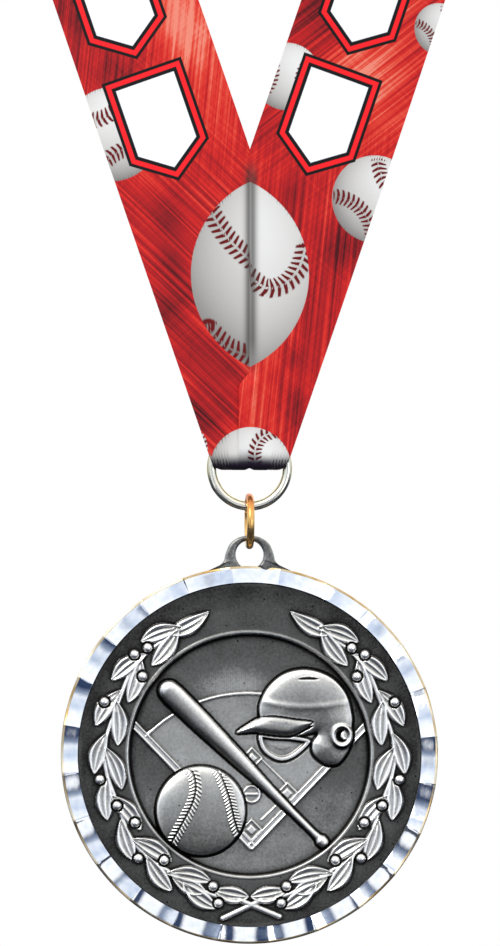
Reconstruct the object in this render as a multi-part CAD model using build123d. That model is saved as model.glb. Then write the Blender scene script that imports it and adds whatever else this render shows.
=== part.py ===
from build123d import *
import os
from math import cos, pi, radians, sin, sqrt, tan

# A sports finisher medal on its neck ribbon, hanging as it is worn.
# Millimetres, +Z up, the medal's face towards -Y. The origin is the middle of the ribbon's
# inner face at the back of the neck.

# medal casting
medal_diameter = 60.3
medal_thickness = 3.0
edge_bevel = 0.4
rim_width = 2.3
scoop_count = 24
scoop_depth = 0.5
scoop_first_angle = 1.8  # of the first cut's middle, clockwise from the top
field_depth = 0.8
dish_radius = 19.2
dish_depth = 0.7

# loop cast on the medal's top
lug_hole_diameter = 4.5
lug_wall = 0.85
lug_width = 7.7
lug_foot_width = 10.8
lug_foot_drop = 2.9
lug_thickness = 2.0
lug_hole_chamfer = 0.4

# wreath in the sunk field
leaf_height = 0.5
leaf_length = 6.0
leaf_width = 2.1
inner_leaves = 7
inner_leaf_first = 27.0
inner_leaf_step = 19.2
outer_leaves = 8
outer_leaf_first = 20.0
outer_leaf_step = 17.7
leaf_splay = 17.0
berry_radius = 0.75
stem_width = 1.1

# relief in the middle
line_height = 0.25
line_width = 0.5
ball_radius = 7.2
ball_height = 1.2
bat_height = 0.9
helmet_height = 1.0

# rings
jump_ring_outer = 9.0
jump_ring_wire = 1.25
ribbon_ring_outer = 13.65
ribbon_ring_wire = 1.5
ring_clearance = 0.08  # between two rings that hang in each other, and at the lug

# neck ribbon
ribbon_width = 22.2
ribbon_length = 762.0  # tip to tip, along the outer edge
ribbon_thickness = 0.5
leg_angle = 19.0  # each leg of the V from the vertical
fold_drop = 50.5  # from the V's notch down to the fold in the ring
fold_clearance = 0.25  # between the ribbon and the ring in its fold
fold_rise = 0.65  # of the fold over the middle of its ring
flap_length = 13.0
shoulder_spread = 52.0  # where the strip's stretches meet, as flattened angles from the nape
nape_spread = 25.0
layer_gap = 0.06  # between two layers of ribbon, and between ribbon and thread
thread_diameter = 0.3
stitch_length = 2.4
stitch_pitch = 3.0
tack_stitches = 9

os.makedirs("parts", exist_ok=True)

# The neck loop is a straight strip laid on a cone whose front generator is vertical, so it
# bends round the neck without stretching. half_spread is half the flattened cone's angle.
half_spread = radians(90.0 - leg_angle)
cone_sine = half_spread / pi  # of the cone's half angle
cone_cosine = sqrt(1 - cone_sine**2)
mitre_length = ribbon_width / tan(radians(leg_angle))
centre_length = ribbon_length - mitre_length
nape_slant = centre_length / 2 / tan(half_spread)
notch_slant = (nape_slant - ribbon_width / 2) / cos(half_spread)
tip_slant = (nape_slant + ribbon_width / 2) / cos(half_spread)
fold_slant = notch_slant + fold_drop

cone_axis = Vector(0, cone_sine, -cone_cosine)
cone_back = Vector(0, cone_cosine, cone_sine)


def cone_frame(spread):
    """Generator and outward normal at a flattened angle from the nape, in radians."""
    turn = spread / cone_sine
    radial = cone_back * cos(turn) + Vector(1, 0, 0) * sin(turn)
    generator = cone_axis * cone_cosine + radial * cone_sine
    normal = radial * cone_cosine - cone_axis * cone_sine
    return generator, normal


def cone_section(spread):
    """The strip's cut along one generator: a thin rectangle."""
    generator, normal = cone_frame(spread)
    near = generator * ((nape_slant - ribbon_width / 2) / cos(spread))
    far = generator * ((nape_slant + ribbon_width / 2) / cos(spread))
    half = normal * (ribbon_thickness / 2)
    corners = [near - half, near + half, far + half, far - half]
    return Wire.make_polygon([corner - nape for corner in corners], close=True)


nape_generator, nape_normal = cone_frame(0.0)
nape = nape_generator * nape_slant - nape_normal * (ribbon_thickness / 2)


def strip(first, last, steps):
    """A stretch of ribbon between two flattened angles, in degrees."""
    angles = [radians(first + (last - first) * i / steps) for i in range(steps + 1)]
    return Solid.make_loft([cone_section(angle) for angle in angles], ruled=True)


def crease_sag(half):
    """How far the cone falls back from the crease at this distance either side of it."""
    return half**2 * cone_cosine / (2 * fold_slant * cone_sine)


# places down the front, from the origin
front_y = -nape.Y
fold_z = -fold_slant - nape.Z
ring_front = front_y + ribbon_thickness / 2 + crease_sag(ribbon_ring_outer / 2) + fold_clearance
ring_y = ring_front + ribbon_ring_wire / 2
ring_radius = (ribbon_ring_outer - ribbon_ring_wire) / 2
ring_z = fold_z - fold_rise
tip = tip_slant - fold_slant
half_foot = tip * tan(radians(leg_angle))
flap_y = front_y + ribbon_thickness / 2 + crease_sag(half_foot) + layer_gap
jump_radius = (jump_ring_outer - jump_ring_wire) / 2
jump_inner = jump_radius - jump_ring_wire / 2
link_gap = (ribbon_ring_wire + jump_ring_wire) / 2 + ring_clearance
jump_z = ring_z - ring_radius + link_gap - jump_radius

medal_radius = medal_diameter / 2
face_radius = medal_radius - edge_bevel
rim_inner = face_radius - rim_width
hole_radius = lug_hole_diameter / 2
hole_height = face_radius + hole_radius
# the lug's bridge rests in the bottom of the jump ring, with its chamfered edges clear
bridge_half = lug_thickness / 2 - lug_hole_chamfer
bridge_drop = sqrt((jump_inner - ring_clearance) ** 2 - bridge_half**2)
medal_z = jump_z - bridge_drop - hole_radius - hole_height


def from_front(shape):
    """Turn a solid modelled upwards from a plan, its height along +Z, to face -Y."""
    return shape.rotate(Axis.X, 90)


def at_medal(shape):
    return from_front(shape).translate(Vector(0, ring_y, medal_z))


def raised(outline, base, height):
    """A relief with this outline, sunk a little into the floor it stands on."""
    return Pos(0, 0, base - 0.1) * extrude(outline, height + 0.1)


front = medal_thickness / 2
field_floor = front - field_depth
dish_floor = field_floor - dish_depth


def rim_scoops():
    """One concave cut for each facet of the rim."""
    half_chord = face_radius * tan(pi / scoop_count)
    radius = (half_chord**2 + scoop_depth**2) / (2 * scoop_depth)
    cutter = Cylinder(radius, rim_width + 4, align=(Align.CENTER, Align.CENTER, Align.MIN))
    cutter = Pos(0, 0, front + radius - scoop_depth) * Rot(0, 90, 0) * cutter
    cutter = Pos(rim_inner - 2, 0, 0) * cutter
    step = 360 / scoop_count
    return [Rot(0, 0, 90 - scoop_first_angle - i * step) * cutter for i in range(scoop_count)]


def lug():
    """The loop on top: a rounded plate with concave flared sides."""
    half, foot = lug_width / 2, lug_foot_width / 2
    top = hole_height + hole_radius + lug_wall
    foot_height = hole_height - lug_foot_drop
    waist = (half + 0.25 * (foot - half), hole_height - 0.5 * lug_foot_drop)
    outline = [
        ThreePointArc((-half, hole_height), (0, top), (half, hole_height)),
        ThreePointArc((half, hole_height), waist, (foot, foot_height)),
        Polyline((foot, foot_height), (foot, rim_inner), (-foot, rim_inner), (-foot, foot_height)),
        ThreePointArc((-foot, foot_height), (-waist[0], waist[1]), (-half, hole_height)),
    ]
    return Pos(0, 0, -lug_thickness / 2) * extrude(make_face(outline), lug_thickness)


def lug_hole():
    """The hole with both edges chamfered to the lug's faces."""
    wide = hole_radius + lug_hole_chamfer
    hole = Cylinder(hole_radius, 2 * medal_thickness)
    mouth = Pos(0, 0, lug_thickness / 2 - lug_hole_chamfer / 2) * Cone(
        hole_radius, wide, lug_hole_chamfer
    )
    return Pos(0, hole_height, 0) * (hole + mouth + mirror(mouth, Plane.XY))


def leaf(angle, reach, splay):
    """A leaf growing up the left branch; reach is 0 at the dish and 1 at the rim."""
    half = leaf_length / 2
    side = [
        ThreePointArc((-half, 0), (0, bulge), (half, 0)) for bulge in (leaf_width / 2, -leaf_width / 2)
    ]
    blade = raised(make_face(side), field_floor, leaf_height)
    radius = dish_radius + reach * (rim_inner - dish_radius)
    return Rot(0, 0, -90 - angle) * Pos(radius, 0, 0) * Rot(0, 0, -90 + splay) * blade


def berry(angle, reach):
    radius = dish_radius + reach * (rim_inner - dish_radius)
    ball = Pos(radius, 0, field_floor) * Sphere(berry_radius)
    return Rot(0, 0, -90 - angle) * (ball & Pos(radius, 0, front) * Box(4, 4, 2 * field_depth + 0.2))


def branch():
    """The left branch of the wreath, from the crossed stems at the bottom."""
    inner = [
        leaf(inner_leaf_first + i * inner_leaf_step, 0.26, -leaf_splay) for i in range(inner_leaves)
    ]
    outer = [
        leaf(outer_leaf_first + i * outer_leaf_step, 0.63, leaf_splay) for i in range(outer_leaves)
    ]
    berries = [berry(inner_leaf_first + (i + 0.55) * inner_leaf_step, 0.2) for i in range(6)]
    berries += [berry(outer_leaf_first + (i + 0.5) * outer_leaf_step, 0.66) for i in range(7)]
    stem_radius = dish_radius + 0.5 * (rim_inner - dish_radius)
    stem = Pos(0, -stem_radius, 0) * Rot(0, 0, 20) * Rectangle(9, stem_width)
    return inner + outer + berries + [raised(stem, field_floor, leaf_height)]


def line(start, end, width):
    middle = ((start[0] + end[0]) / 2, (start[1] + end[1]) / 2)
    run = Vector(end[0] - start[0], end[1] - start[1], 0)
    turn = run.get_signed_angle(Vector(1, 0, 0), Vector(0, 0, -1))
    return Pos(*middle) * Rot(0, 0, turn) * Rectangle(run.length, width)


def field_plan():
    """Foul lines, bases and mound, laid out from the plate."""
    plate = (0.3, -12.0)
    reach = dish_radius * 0.93
    left, right = (-reach, plate[1] + reach - 0.6), (reach, plate[1] + reach - 0.3)
    marks = [line((plate[0], plate[1] - 2.5), end, line_width) for end in (left, right)]
    marks += [Pos(*at) * Rot(0, 0, 45) * Rectangle(1.8, 1.8) for at in (plate, (6.0, -6.3), (0.5, -0.5))]
    marks.append(Pos(0.4, -6.2) * Circle(1.5))
    return [raised(mark, dish_floor, line_height) for mark in marks]


def ball():
    dome_radius = (ball_radius**2 + ball_height**2) / (2 * ball_height)
    dome = Pos(0, 0, dish_floor + ball_height - dome_radius) * Sphere(dome_radius)
    slab = Pos(0, 0, dish_floor + ball_height / 2) * Cylinder(ball_radius, ball_height + 0.2)
    return Pos(-7.85, -8.84, 0) * (dome & slab)


def bat():
    """Barrel up to the left, knob down to the right."""
    profile = [(0, 0.9), (0.5, 1.75), (9, 1.6), (20, 0.6), (34.5, 0.45), (34.9, 0.95), (35.9, 0.95)]
    below = [(along, -half) for along, half in reversed(profile)]
    blade = raised(make_face(Polyline(*profile, *below, close=True)), dish_floor, bat_height)
    return Pos(-13.5, 10.8, 0) * Rot(0, 0, -44.8) * blade


def helmet():
    """Batting helmet seen from the left: dome, brim and ear flap."""
    dome = [
        ThreePointArc((1.5, 6.0), (8.5, 13.6), (16.5, 6.0)),
        Polyline((16.5, 6.0), (16.3, 1.4)),
        ThreePointArc((16.3, 1.4), (13.3, -1.8), (9.8, 1.4)),
        Polyline((9.8, 1.4), (9.8, 5.2), (-2.2, 3.3), (1.5, 6.0)),
    ]
    shell = raised(make_face(dome), dish_floor, helmet_height)
    return shell - Pos(14.6, 2.7, front) * Cylinder(1.3, 2 * (field_depth + 0.2))


def medal():
    body = Cylinder(medal_radius, medal_thickness)
    body = chamfer(body.edges(), edge_bevel)
    body -= rim_scoops()
    body -= Pos(0, 0, front) * Cylinder(rim_inner, 2 * field_depth)
    body -= Pos(0, 0, field_floor) * Cylinder(dish_radius, 2 * dish_depth)
    body += lug()
    body -= lug_hole()
    left = branch()
    body += left + [mirror(piece, Plane.YZ) for piece in left]
    scene = field_plan() + [ball(), bat(), helmet()]
    limit = Pos(0, 0, dish_floor) * Cylinder(dish_radius, 2 * medal_thickness)
    return at_medal(body + [piece & limit for piece in scene])


def wire_ring(outer, wire):
    """A closed round-wire ring in the XZ plane."""
    return Torus((outer - wire) / 2, wire / 2).rotate(Axis.X, 90)


def ribbon_front():
    """The left leg of the V, from the crease to beside the neck, cut off at the fold."""
    leg = strip(leg_angle - 90.0, -shoulder_spread, 10)
    below = Box(*[4 * mitre_length] * 3, align=(Align.CENTER, Align.CENTER, Align.MAX))
    return leg - below.translate(Vector(0, front_y, fold_z))


def ring_fold():
    """The ribbon's tip: through the ring under its top arc, then up behind as a flap."""
    near = flap_y
    back = ring_y + ribbon_ring_wire / 2 + fold_clearance
    bend = ring_z + ring_radius + 0.55
    rise = (back - near) * 1.3
    step = 0.4 * ribbon_thickness
    top = fold_z + flap_length
    profile = [
        (back, fold_z),
        (back + ribbon_thickness, fold_z),
        (back + ribbon_thickness, bend + step),
        (near + ribbon_thickness, bend + rise + step),
        (near + ribbon_thickness, top),
        (near, top),
        (near, bend + rise),
        (back, bend),
    ]
    section = Face(Wire.make_polygon([Vector(0, y, z) for y, z in profile], close=True))
    slab = extrude(section, ribbon_width, dir=(1, 0, 0), both=True)
    corners = [(-half_foot, 0), (half_foot, 0), (0, tip)]
    outline = Face(Wire.make_polygon([Vector(x, near, fold_z + z) for x, z in corners], close=True))
    flap = slab & extrude(outline, 4 * (back - near), dir=(0, 1, 0), both=True)
    inner = ring_radius - ribbon_ring_wire / 2 - fold_clearance
    below_centre = fold_z + ribbon_thickness - ring_z
    web_half = min(sqrt(inner**2 - below_centre**2), half_foot) - 0.05
    web = Box(2 * web_half, back - near, ribbon_thickness, align=(Align.CENTER, Align.MIN, Align.MIN))
    return flap + web.translate(Vector(0, near, fold_z))


def seam_thread():
    """A line of stitches down the back of the crease, each a short straight thread."""
    y = front_y + (ribbon_thickness + thread_diameter) / 2 + layer_gap
    top = -notch_slant - nape.Z - stitch_pitch
    room = top - (fold_z + flap_length) - stitch_length
    count = int(room / stitch_pitch) + 1
    stitch = Cylinder(thread_diameter / 2, stitch_length, align=(Align.CENTER, Align.CENTER, Align.MAX))
    return [stitch.translate(Vector(0, y, top - i * stitch_pitch)) for i in range(count)]


def tack_thread():
    """A bar tack across the flap's upper end, seen from behind."""
    y = flap_y + ribbon_thickness + thread_diameter / 2 + layer_gap
    height = flap_length - 2.2
    half = (tip - height - stitch_length / 2) * tan(radians(leg_angle)) - 0.3
    pitch = 2 * half / (tack_stitches - 1)
    stitch = Cylinder(thread_diameter / 2, stitch_length)
    places = [(-half + i * pitch, y, fold_z + height) for i in range(tack_stitches)]
    return [stitch.translate(Vector(*place)) for place in places]


def write(name, shape):
    solids = shape if isinstance(shape, list) else [shape]
    export_step(Compound(label=name, children=solids), f"parts/{name}.step")


write("medal", medal())
jump_ring = wire_ring(jump_ring_outer, jump_ring_wire).rotate(Axis.Z, 90)
write("jump_ring", jump_ring.translate(Vector(0, ring_y, jump_z)))
ribbon_ring = wire_ring(ribbon_ring_outer, ribbon_ring_wire)
write("ribbon_ring", ribbon_ring.translate(Vector(0, ring_y, ring_z)))
left_front = ribbon_front()
write("ribbon_left_front", left_front)
write("ribbon_right_front", mirror(left_front, Plane.YZ))
left_shoulder = strip(-shoulder_spread, -nape_spread, 8)
write("ribbon_left_shoulder", left_shoulder)
write("ribbon_right_shoulder", mirror(left_shoulder, Plane.YZ))
write("ribbon_nape", strip(-nape_spread, nape_spread, 12))
write("ribbon_ring_fold", ring_fold())
write("centre_seam_thread", seam_thread())
write("ring_loop_thread", tack_thread())

print("ring centre", round(ring_y, 3), round(ring_z, 3))
print("jump ring centre", round(jump_z, 3), "medal centre", round(medal_z, 3))
print("ribbon ring bottom wire", round(ring_z - ring_radius, 3))
print("jump ring bottom wire", round(jump_z - jump_radius, 3))
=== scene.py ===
# Sports finisher medal: antique silver casting with a diamond cut rim, hung by two rings
# from a printed satin neck ribbon. Metres in Blender; the sizes below are millimetres.
import math

import bpy
import numpy as np
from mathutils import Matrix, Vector


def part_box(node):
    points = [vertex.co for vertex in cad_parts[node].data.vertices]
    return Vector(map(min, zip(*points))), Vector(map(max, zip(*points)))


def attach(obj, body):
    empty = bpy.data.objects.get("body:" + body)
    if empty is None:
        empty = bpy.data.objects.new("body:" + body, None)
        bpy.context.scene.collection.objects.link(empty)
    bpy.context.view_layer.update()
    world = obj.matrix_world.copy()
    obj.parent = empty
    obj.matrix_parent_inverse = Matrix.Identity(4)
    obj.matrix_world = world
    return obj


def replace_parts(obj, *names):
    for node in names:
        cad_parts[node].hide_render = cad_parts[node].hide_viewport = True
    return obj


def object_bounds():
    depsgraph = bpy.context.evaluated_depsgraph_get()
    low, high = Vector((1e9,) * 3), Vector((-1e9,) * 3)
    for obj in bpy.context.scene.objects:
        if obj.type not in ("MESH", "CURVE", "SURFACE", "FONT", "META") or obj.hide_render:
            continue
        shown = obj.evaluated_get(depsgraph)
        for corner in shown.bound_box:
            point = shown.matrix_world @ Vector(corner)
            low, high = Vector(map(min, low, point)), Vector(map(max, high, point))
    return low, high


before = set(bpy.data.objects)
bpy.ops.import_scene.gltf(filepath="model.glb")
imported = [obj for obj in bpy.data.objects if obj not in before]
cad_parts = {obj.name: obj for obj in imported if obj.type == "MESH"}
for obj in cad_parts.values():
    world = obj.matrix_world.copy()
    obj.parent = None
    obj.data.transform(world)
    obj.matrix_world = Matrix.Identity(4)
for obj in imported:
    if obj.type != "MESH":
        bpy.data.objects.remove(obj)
cadBox = [list(corner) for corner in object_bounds()]
mm = 0.001
rng = np.random.default_rng(7)


def hexToLinear(code):
    channels = [int(code[i : i + 2], 16) / 255 for i in (1, 3, 5)]
    return [c / 12.92 if c < 0.04045 else ((c + 0.055) / 1.055) ** 2.4 for c in channels] + [1.0]


def addNode(tree, kind, inputs=None, **settings):
    node = tree.nodes.new(kind)
    for name, value in settings.items():
        setattr(node, name, value)
    for name, value in (inputs or {}).items():
        if isinstance(value, bpy.types.NodeSocket):
            tree.links.new(value, node.inputs[name])
        else:
            node.inputs[name].default_value = value
    return node


def workOut(tree, known, lines):
    # each line is one step of maths: result OPERATION first second
    for line in lines:
        result, operation, *values = line.split()
        inputs = {i: known[v] if v in known else float(v) for i, v in enumerate(values)}
        known[result] = addNode(tree, "ShaderNodeMath", inputs, operation=operation).outputs[0]
    return known


def colourRamp(tree, factor, stops):
    ramp = addNode(tree, "ShaderNodeValToRGB", {"Fac": factor})
    elements = ramp.color_ramp.elements
    while len(elements) < len(stops):
        elements.new(0.5)
    for element, (place, code) in zip(elements, stops):
        element.position = place
        element.color = hexToLinear(code)
    return ramp.outputs["Color"]


def newMaterial(name):
    material = bpy.data.materials.new(name)
    material.use_nodes = True
    tree = material.node_tree
    return material, tree, tree.nodes["Principled BSDF"]


def newPiece(name, points, faces, material, smooth=True):
    mesh = bpy.data.meshes.new(name)
    mesh.from_pydata([tuple(p) for p in points], [], faces)
    mesh.validate()
    mesh.update()
    mesh.materials.append(material)
    mesh.shade_smooth() if smooth else mesh.shade_flat()
    piece = bpy.data.objects.new(name, mesh)
    bpy.context.collection.objects.link(piece)
    return piece


def ringFaces(rings, count, closed=False):
    # quads between neighbouring closed rings of the same point count
    faces = []
    for r in range(rings if closed else rings - 1):
        a, b = r * count, ((r + 1) % rings) * count
        faces += [(a + i, a + (i + 1) % count, b + (i + 1) % count, b + i) for i in range(count)]
    return faces


def setField(mesh, name, values, kind="FLOAT", key="value"):
    # a named value at every point, for the material to read
    layer = mesh.attributes.new(name, kind, "POINT")
    layer.data.foreach_set(key, np.asarray(values, dtype=np.float32).ravel())


def gridQuads(index, keep):
    # quads of a grid's point numbers, where all four corners are kept
    whole = keep[:-1, :-1] & keep[1:, :-1] & keep[1:, 1:] & keep[:-1, 1:]
    return np.stack([index[:-1, :-1], index[1:, :-1], index[1:, 1:], index[:-1, 1:]], axis=-1)[whole]


def openEdges(quads):
    # edges that belong to one quad only
    edges = np.concatenate([quads[:, [i, (i + 1) % 4]] for i in range(4)])
    inverse, counts = np.unique(np.sort(edges, axis=1), axis=0, return_inverse=True, return_counts=True)[1:]
    return edges[counts[inverse.ravel()] == 1]


def smoothStep(low, high, value):
    t = np.clip((value - low) / (high - low), 0, 1)
    return t * t * (3 - 2 * t)


def smoothOutline(points, steps=6, closed=True):
    # a curve through the points
    result = []
    n = len(points)
    spans = n if closed else n - 1
    for i in range(spans):
        nearby = (i - 1, i, i + 1, i + 2)
        pick = [points[k % n] if closed else points[min(max(k, 0), n - 1)] for k in nearby]
        for j in range(steps):
            t = j / steps
            result.append(tuple(
                0.5 * (2 * b + (c - a) * t + (2 * a - 5 * b + 4 * c - d) * t**2
                       + (3 * b - a - 3 * c + d) * t**3)
                for a, b, c, d in zip(*pick)))
    return result if closed else result + [points[-1]]


medalLow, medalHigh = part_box("medal")
medal = {
    "radius": 30.15,
    "thickness": 3.0,
    "bevel": 0.4,
    "rimWidth": 2.3,
    "scoops": 24,
    "scoopDepth": 0.5,
    "scoopTurn": 1.8,
    "scoopLean": 6.5,
    "fieldDepth": 0.8,
    "dishRadius": 19.2,
    "dishDepth": 0.7,
    "leanSpread": 1.6,
    "asideSpread": 0.35,
    "under": -0.3,
    "backRim": 1.6,
    "backSunk": 0.15,
    "wallRub": 0.45,
    "backRub": 0.72,
}
backY = medalHigh.y
medalZ = medalLow.z + medal["radius"] * mm

# camera: a long lens from a little left and below, level with the rings

view = {"height": 151.7, "distance": 1.1, "azimuth": -3.0, "elevation": -3.0, "aimAside": 0.16,
        "aimAboveMedal": 45.15, "film": 36, "nearest": 0.05}


def setCamera():
    aim = Vector((view["aimAside"] * mm, backY, medalZ + view["aimAboveMedal"] * mm))
    azimuth, elevation = math.radians(view["azimuth"]), math.radians(view["elevation"])
    level = math.cos(elevation)
    back = Vector((math.sin(azimuth) * level, -math.cos(azimuth) * level, math.sin(elevation)))
    data = bpy.data.cameras.new("camera")
    data.sensor_fit = "VERTICAL"
    data.sensor_height = view["film"]
    data.lens = view["film"] * view["distance"] / (view["height"] * mm)
    data.clip_start = view["nearest"]
    camera = bpy.data.objects.new("camera", data)
    camera.location = aim + back * view["distance"]
    camera.rotation_euler = (-back).to_track_quat("-Z", "Y").to_euler()
    bpy.context.collection.objects.link(camera)
    bpy.context.scene.camera = camera


setCamera()
print("camera set")

# studio: white paper all round, and a dark blue-grey lower half that only polished metal picks up

studio = {
    "sky": [(0.0, "#5d6472"), (0.25, "#36435e"), (0.39, "#2c3a57"), (0.445, "#8b97ab"), (0.48, "#dfe4ec"),
            (0.57, "#c6d1e2"), (0.64, "#eff3fa"), (0.74, "#ffffff")],
    "skyStrength": 1.22,
    "cards": [(0.58, -0.77, -0.24), (-0.6, -0.76, -0.24), (0.02, -0.96, -0.29)],
    "cardEdge": (9.0, 15.0),
    "cardColour": "#f3f5f8",
    "darkAt": (0.05, -0.998, 0.03),
    "darkEdge": (3.0, 15.0),
    "darkShare": 0.5,
    "floorDrop": 150.0,
    "floorRadius": 0.42,
    "floorSeen": "#e6e6e6",
    "floorMirrored": "#1d2637",
    "lampsAbove": 40.0,
    # lamp, place from the rings, size and power
    "lamps": [("key", (-0.45, -0.8, 0.6), 0.35, 4.2), ("fill", (0.6, -0.9, -0.1), 0.4, 1.0),
              ("back", (0.2, 0.9, 0.4), 0.7, 2.2)],
}


def setStudio():
    world = bpy.data.worlds.new("studio")
    bpy.context.scene.world = world
    world.use_nodes = True
    tree = world.node_tree
    tree.nodes.clear()
    direction = addNode(tree, "ShaderNodeTexCoord").outputs["Generated"]
    height = addNode(tree, "ShaderNodeSeparateXYZ", {0: direction}).outputs["Z"]
    level = addNode(tree, "ShaderNodeMapRange", {"Value": height, "From Min": -1.0, "From Max": 1.0})
    sky = colourRamp(tree, level.outputs[0], studio["sky"])

    def patch(way, inner, outer):
        # 1 within a round patch of the room, fading to 0 at its edge; angles from the medal
        ahead = addNode(tree, "ShaderNodeVectorMath", {0: direction, 1: Vector(way).normalized()},
                        operation="DOT_PRODUCT")
        limits = {"From Min": math.cos(math.radians(outer)), "From Max": math.cos(math.radians(inner))}
        return addNode(tree, "ShaderNodeMapRange", {"Value": ahead.outputs["Value"], **limits},
                       interpolation_type="SMOOTHSTEP").outputs[0]

    # white cards stand low on either side; the camera is a dark patch straight in front
    for way in studio["cards"]:
        card = patch(way, *studio["cardEdge"])
        sky = addNode(tree, "ShaderNodeMix", {"Factor": card, 6: sky, 7: hexToLinear(studio["cardColour"])},
                      data_type="RGBA").outputs[2]
    strength = addNode(tree, "ShaderNodeMapRange", {"Value": patch(studio["darkAt"], *studio["darkEdge"]),
                                                    "To Min": studio["skyStrength"],
                                                    "To Max": studio["skyStrength"] * studio["darkShare"]})
    lit = addNode(tree, "ShaderNodeBackground", {"Color": sky, "Strength": strength.outputs[0]})
    paper = addNode(tree, "ShaderNodeBackground", {"Color": hexToLinear("#ffffff"), "Strength": 1.0})
    seen = addNode(tree, "ShaderNodeLightPath").outputs["Is Camera Ray"]
    mix = addNode(tree, "ShaderNodeMixShader", {0: seen, 1: lit.outputs[0], 2: paper.outputs[0]})
    addNode(tree, "ShaderNodeOutputWorld", {"Surface": mix.outputs[0]})
    aim = Vector((0, backY, medalZ + studio["lampsAbove"] * mm))
    for name, offset, size, power in studio["lamps"]:
        data = bpy.data.lights.new(name, "AREA")
        data.size = size
        data.energy = power
        lamp = bpy.data.objects.new(name, data)
        lamp.location = aim + Vector(offset)
        lamp.rotation_euler = Vector(offset).to_track_quat("Z", "Y").to_euler()
        bpy.context.collection.objects.link(lamp)
    # floor: matt paper well below the hanging medal, seen pale but mirrored dark by the metal,
    # as when black card is laid in front of it
    paperMaterial, paperTree, paperShader = newMaterial("paperMatt")
    direct = addNode(paperTree, "ShaderNodeLightPath").outputs["Is Camera Ray"]
    tones = {6: hexToLinear(studio["floorMirrored"]), 7: hexToLinear(studio["floorSeen"])}
    tone = addNode(paperTree, "ShaderNodeMix", {"Factor": direct, **tones}, data_type="RGBA")
    paperTree.links.new(tone.outputs[2], paperShader.inputs["Base Color"])
    paperShader.inputs["Roughness"].default_value = 0.9
    low = cadBox[0][2] - studio["floorDrop"] * mm
    sides = 96
    around = [2 * math.pi * i / sides for i in range(sides)]
    radius = studio["floorRadius"]
    corners = [(radius * math.cos(a), radius * math.sin(a), low) for a in around]
    newPiece("floor", corners, [tuple(range(sides))], paperMaterial)
    bpy.context.scene.view_settings.view_transform = "Standard"


setStudio()
print("studio set")


# antique silver: zinc alloy, silver plated, blackened, then rubbed back. Dull grey-black in
# the hollows, soft bright metal on everything raised, with fine casting pits.
# on the face's relief the rub values also carry painted light: a highlight above the outfield and lighter
# upper sides on the raised forms
def antiqueSilverRubbed():
    material, tree, shader = newMaterial("antiqueSilverRubbed")
    rub = addNode(tree, "ShaderNodeAttribute", attribute_name="rub").outputs["Fac"]
    place = addNode(tree, "ShaderNodeTexCoord").outputs["Object"]
    # pits 0.4 mm across, stains 4 mm across and blow holes 1.6 mm apart
    pits = addNode(tree, "ShaderNodeTexNoise", {"Vector": place, "Scale": 2600.0, "Detail": 3.0})
    stains = addNode(tree, "ShaderNodeTexNoise", {"Vector": place, "Scale": 260.0, "Detail": 4.0})
    specks = addNode(tree, "ShaderNodeTexVoronoi", {"Vector": place, "Scale": 620.0})
    known = workOut(tree, {"rub": rub, "pit": pits.outputs["Fac"], "stain": stains.outputs["Fac"],
                           "hole": specks.outputs["Distance"]}, [
        "a SUBTRACT pit 0.5", "b MULTIPLY a 0.22", "c SUBTRACT stain 0.5", "d MULTIPLY c 0.16",
        "e ADD rub b", "f ADD e d", "g MULTIPLY hole 9.0", "h SUBTRACT 1.0 g", "i MAXIMUM h 0.0",
        "j MULTIPLY stain stain", "k MULTIPLY i j", "tone MULTIPLY_ADD k -1.3 f"])
    colour = colourRamp(tree, known["tone"], [(0.0, "#0c0c0b"), (0.25, "#2e2d2c"), (0.5, "#6c6b68"),
                                              (0.75, "#bab9b5"), (1.0, "#f9f7f3")])
    tree.links.new(colour, shader.inputs["Base Color"])
    rough = addNode(tree, "ShaderNodeMapRange", {"Value": known["tone"], "To Min": 0.46, "To Max": 0.29})
    tree.links.new(rough.outputs[0], shader.inputs["Roughness"])
    shader.inputs["Metallic"].default_value = 1.0
    bump = addNode(tree, "ShaderNodeBump", {"Height": pits.outputs["Fac"], "Strength": 0.22,
                                            "Distance": 0.04 * mm})
    tree.links.new(bump.outputs[0], shader.inputs["Normal"])
    return material


# diamond cut silver: flats cut by a polished tool, so they mirror the room with hardly a grain
def silverDiamondCut():
    material, tree, shader = newMaterial("silverDiamondCut")
    place = addNode(tree, "ShaderNodeTexCoord").outputs["Object"]
    # tool chatter about 1 mm long
    grain = addNode(tree, "ShaderNodeTexNoise", {"Vector": place, "Scale": 900.0, "Detail": 2.0})
    colour = colourRamp(tree, grain.outputs["Fac"], [(0.3, "#e4eaf4"), (0.7, "#ffffff")])
    tree.links.new(colour, shader.inputs["Base Color"])
    shader.inputs["Metallic"].default_value = 1.0
    shader.inputs["Roughness"].default_value = 0.06
    bump = addNode(tree, "ShaderNodeBump", {"Height": grain.outputs["Fac"], "Strength": 0.06,
                                            "Distance": 0.1 * mm})
    tree.links.new(bump.outputs[0], shader.inputs["Normal"])
    return material


# brass flash on the side: the plating's warm undercoat, which the cut leaves bare at the edge
def brassEdgeWorn():
    material, tree, shader = newMaterial("brassEdgeWorn")
    place = addNode(tree, "ShaderNodeTexCoord").outputs["Object"]
    # worn patches 4 to 5 mm long
    wear = addNode(tree, "ShaderNodeTexNoise", {"Vector": place, "Scale": 220.0, "Detail": 4.0})
    colour = colourRamp(tree, wear.outputs["Fac"], [(0.35, "#b3925a"), (0.6, "#d9cdb2")])
    tree.links.new(colour, shader.inputs["Base Color"])
    shader.inputs["Metallic"].default_value = 1.0
    shader.inputs["Roughness"].default_value = 0.28
    return material


silverAntique = antiqueSilverRubbed()
silverCut = silverDiamondCut()
brassEdge = brassEdgeWorn()


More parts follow.
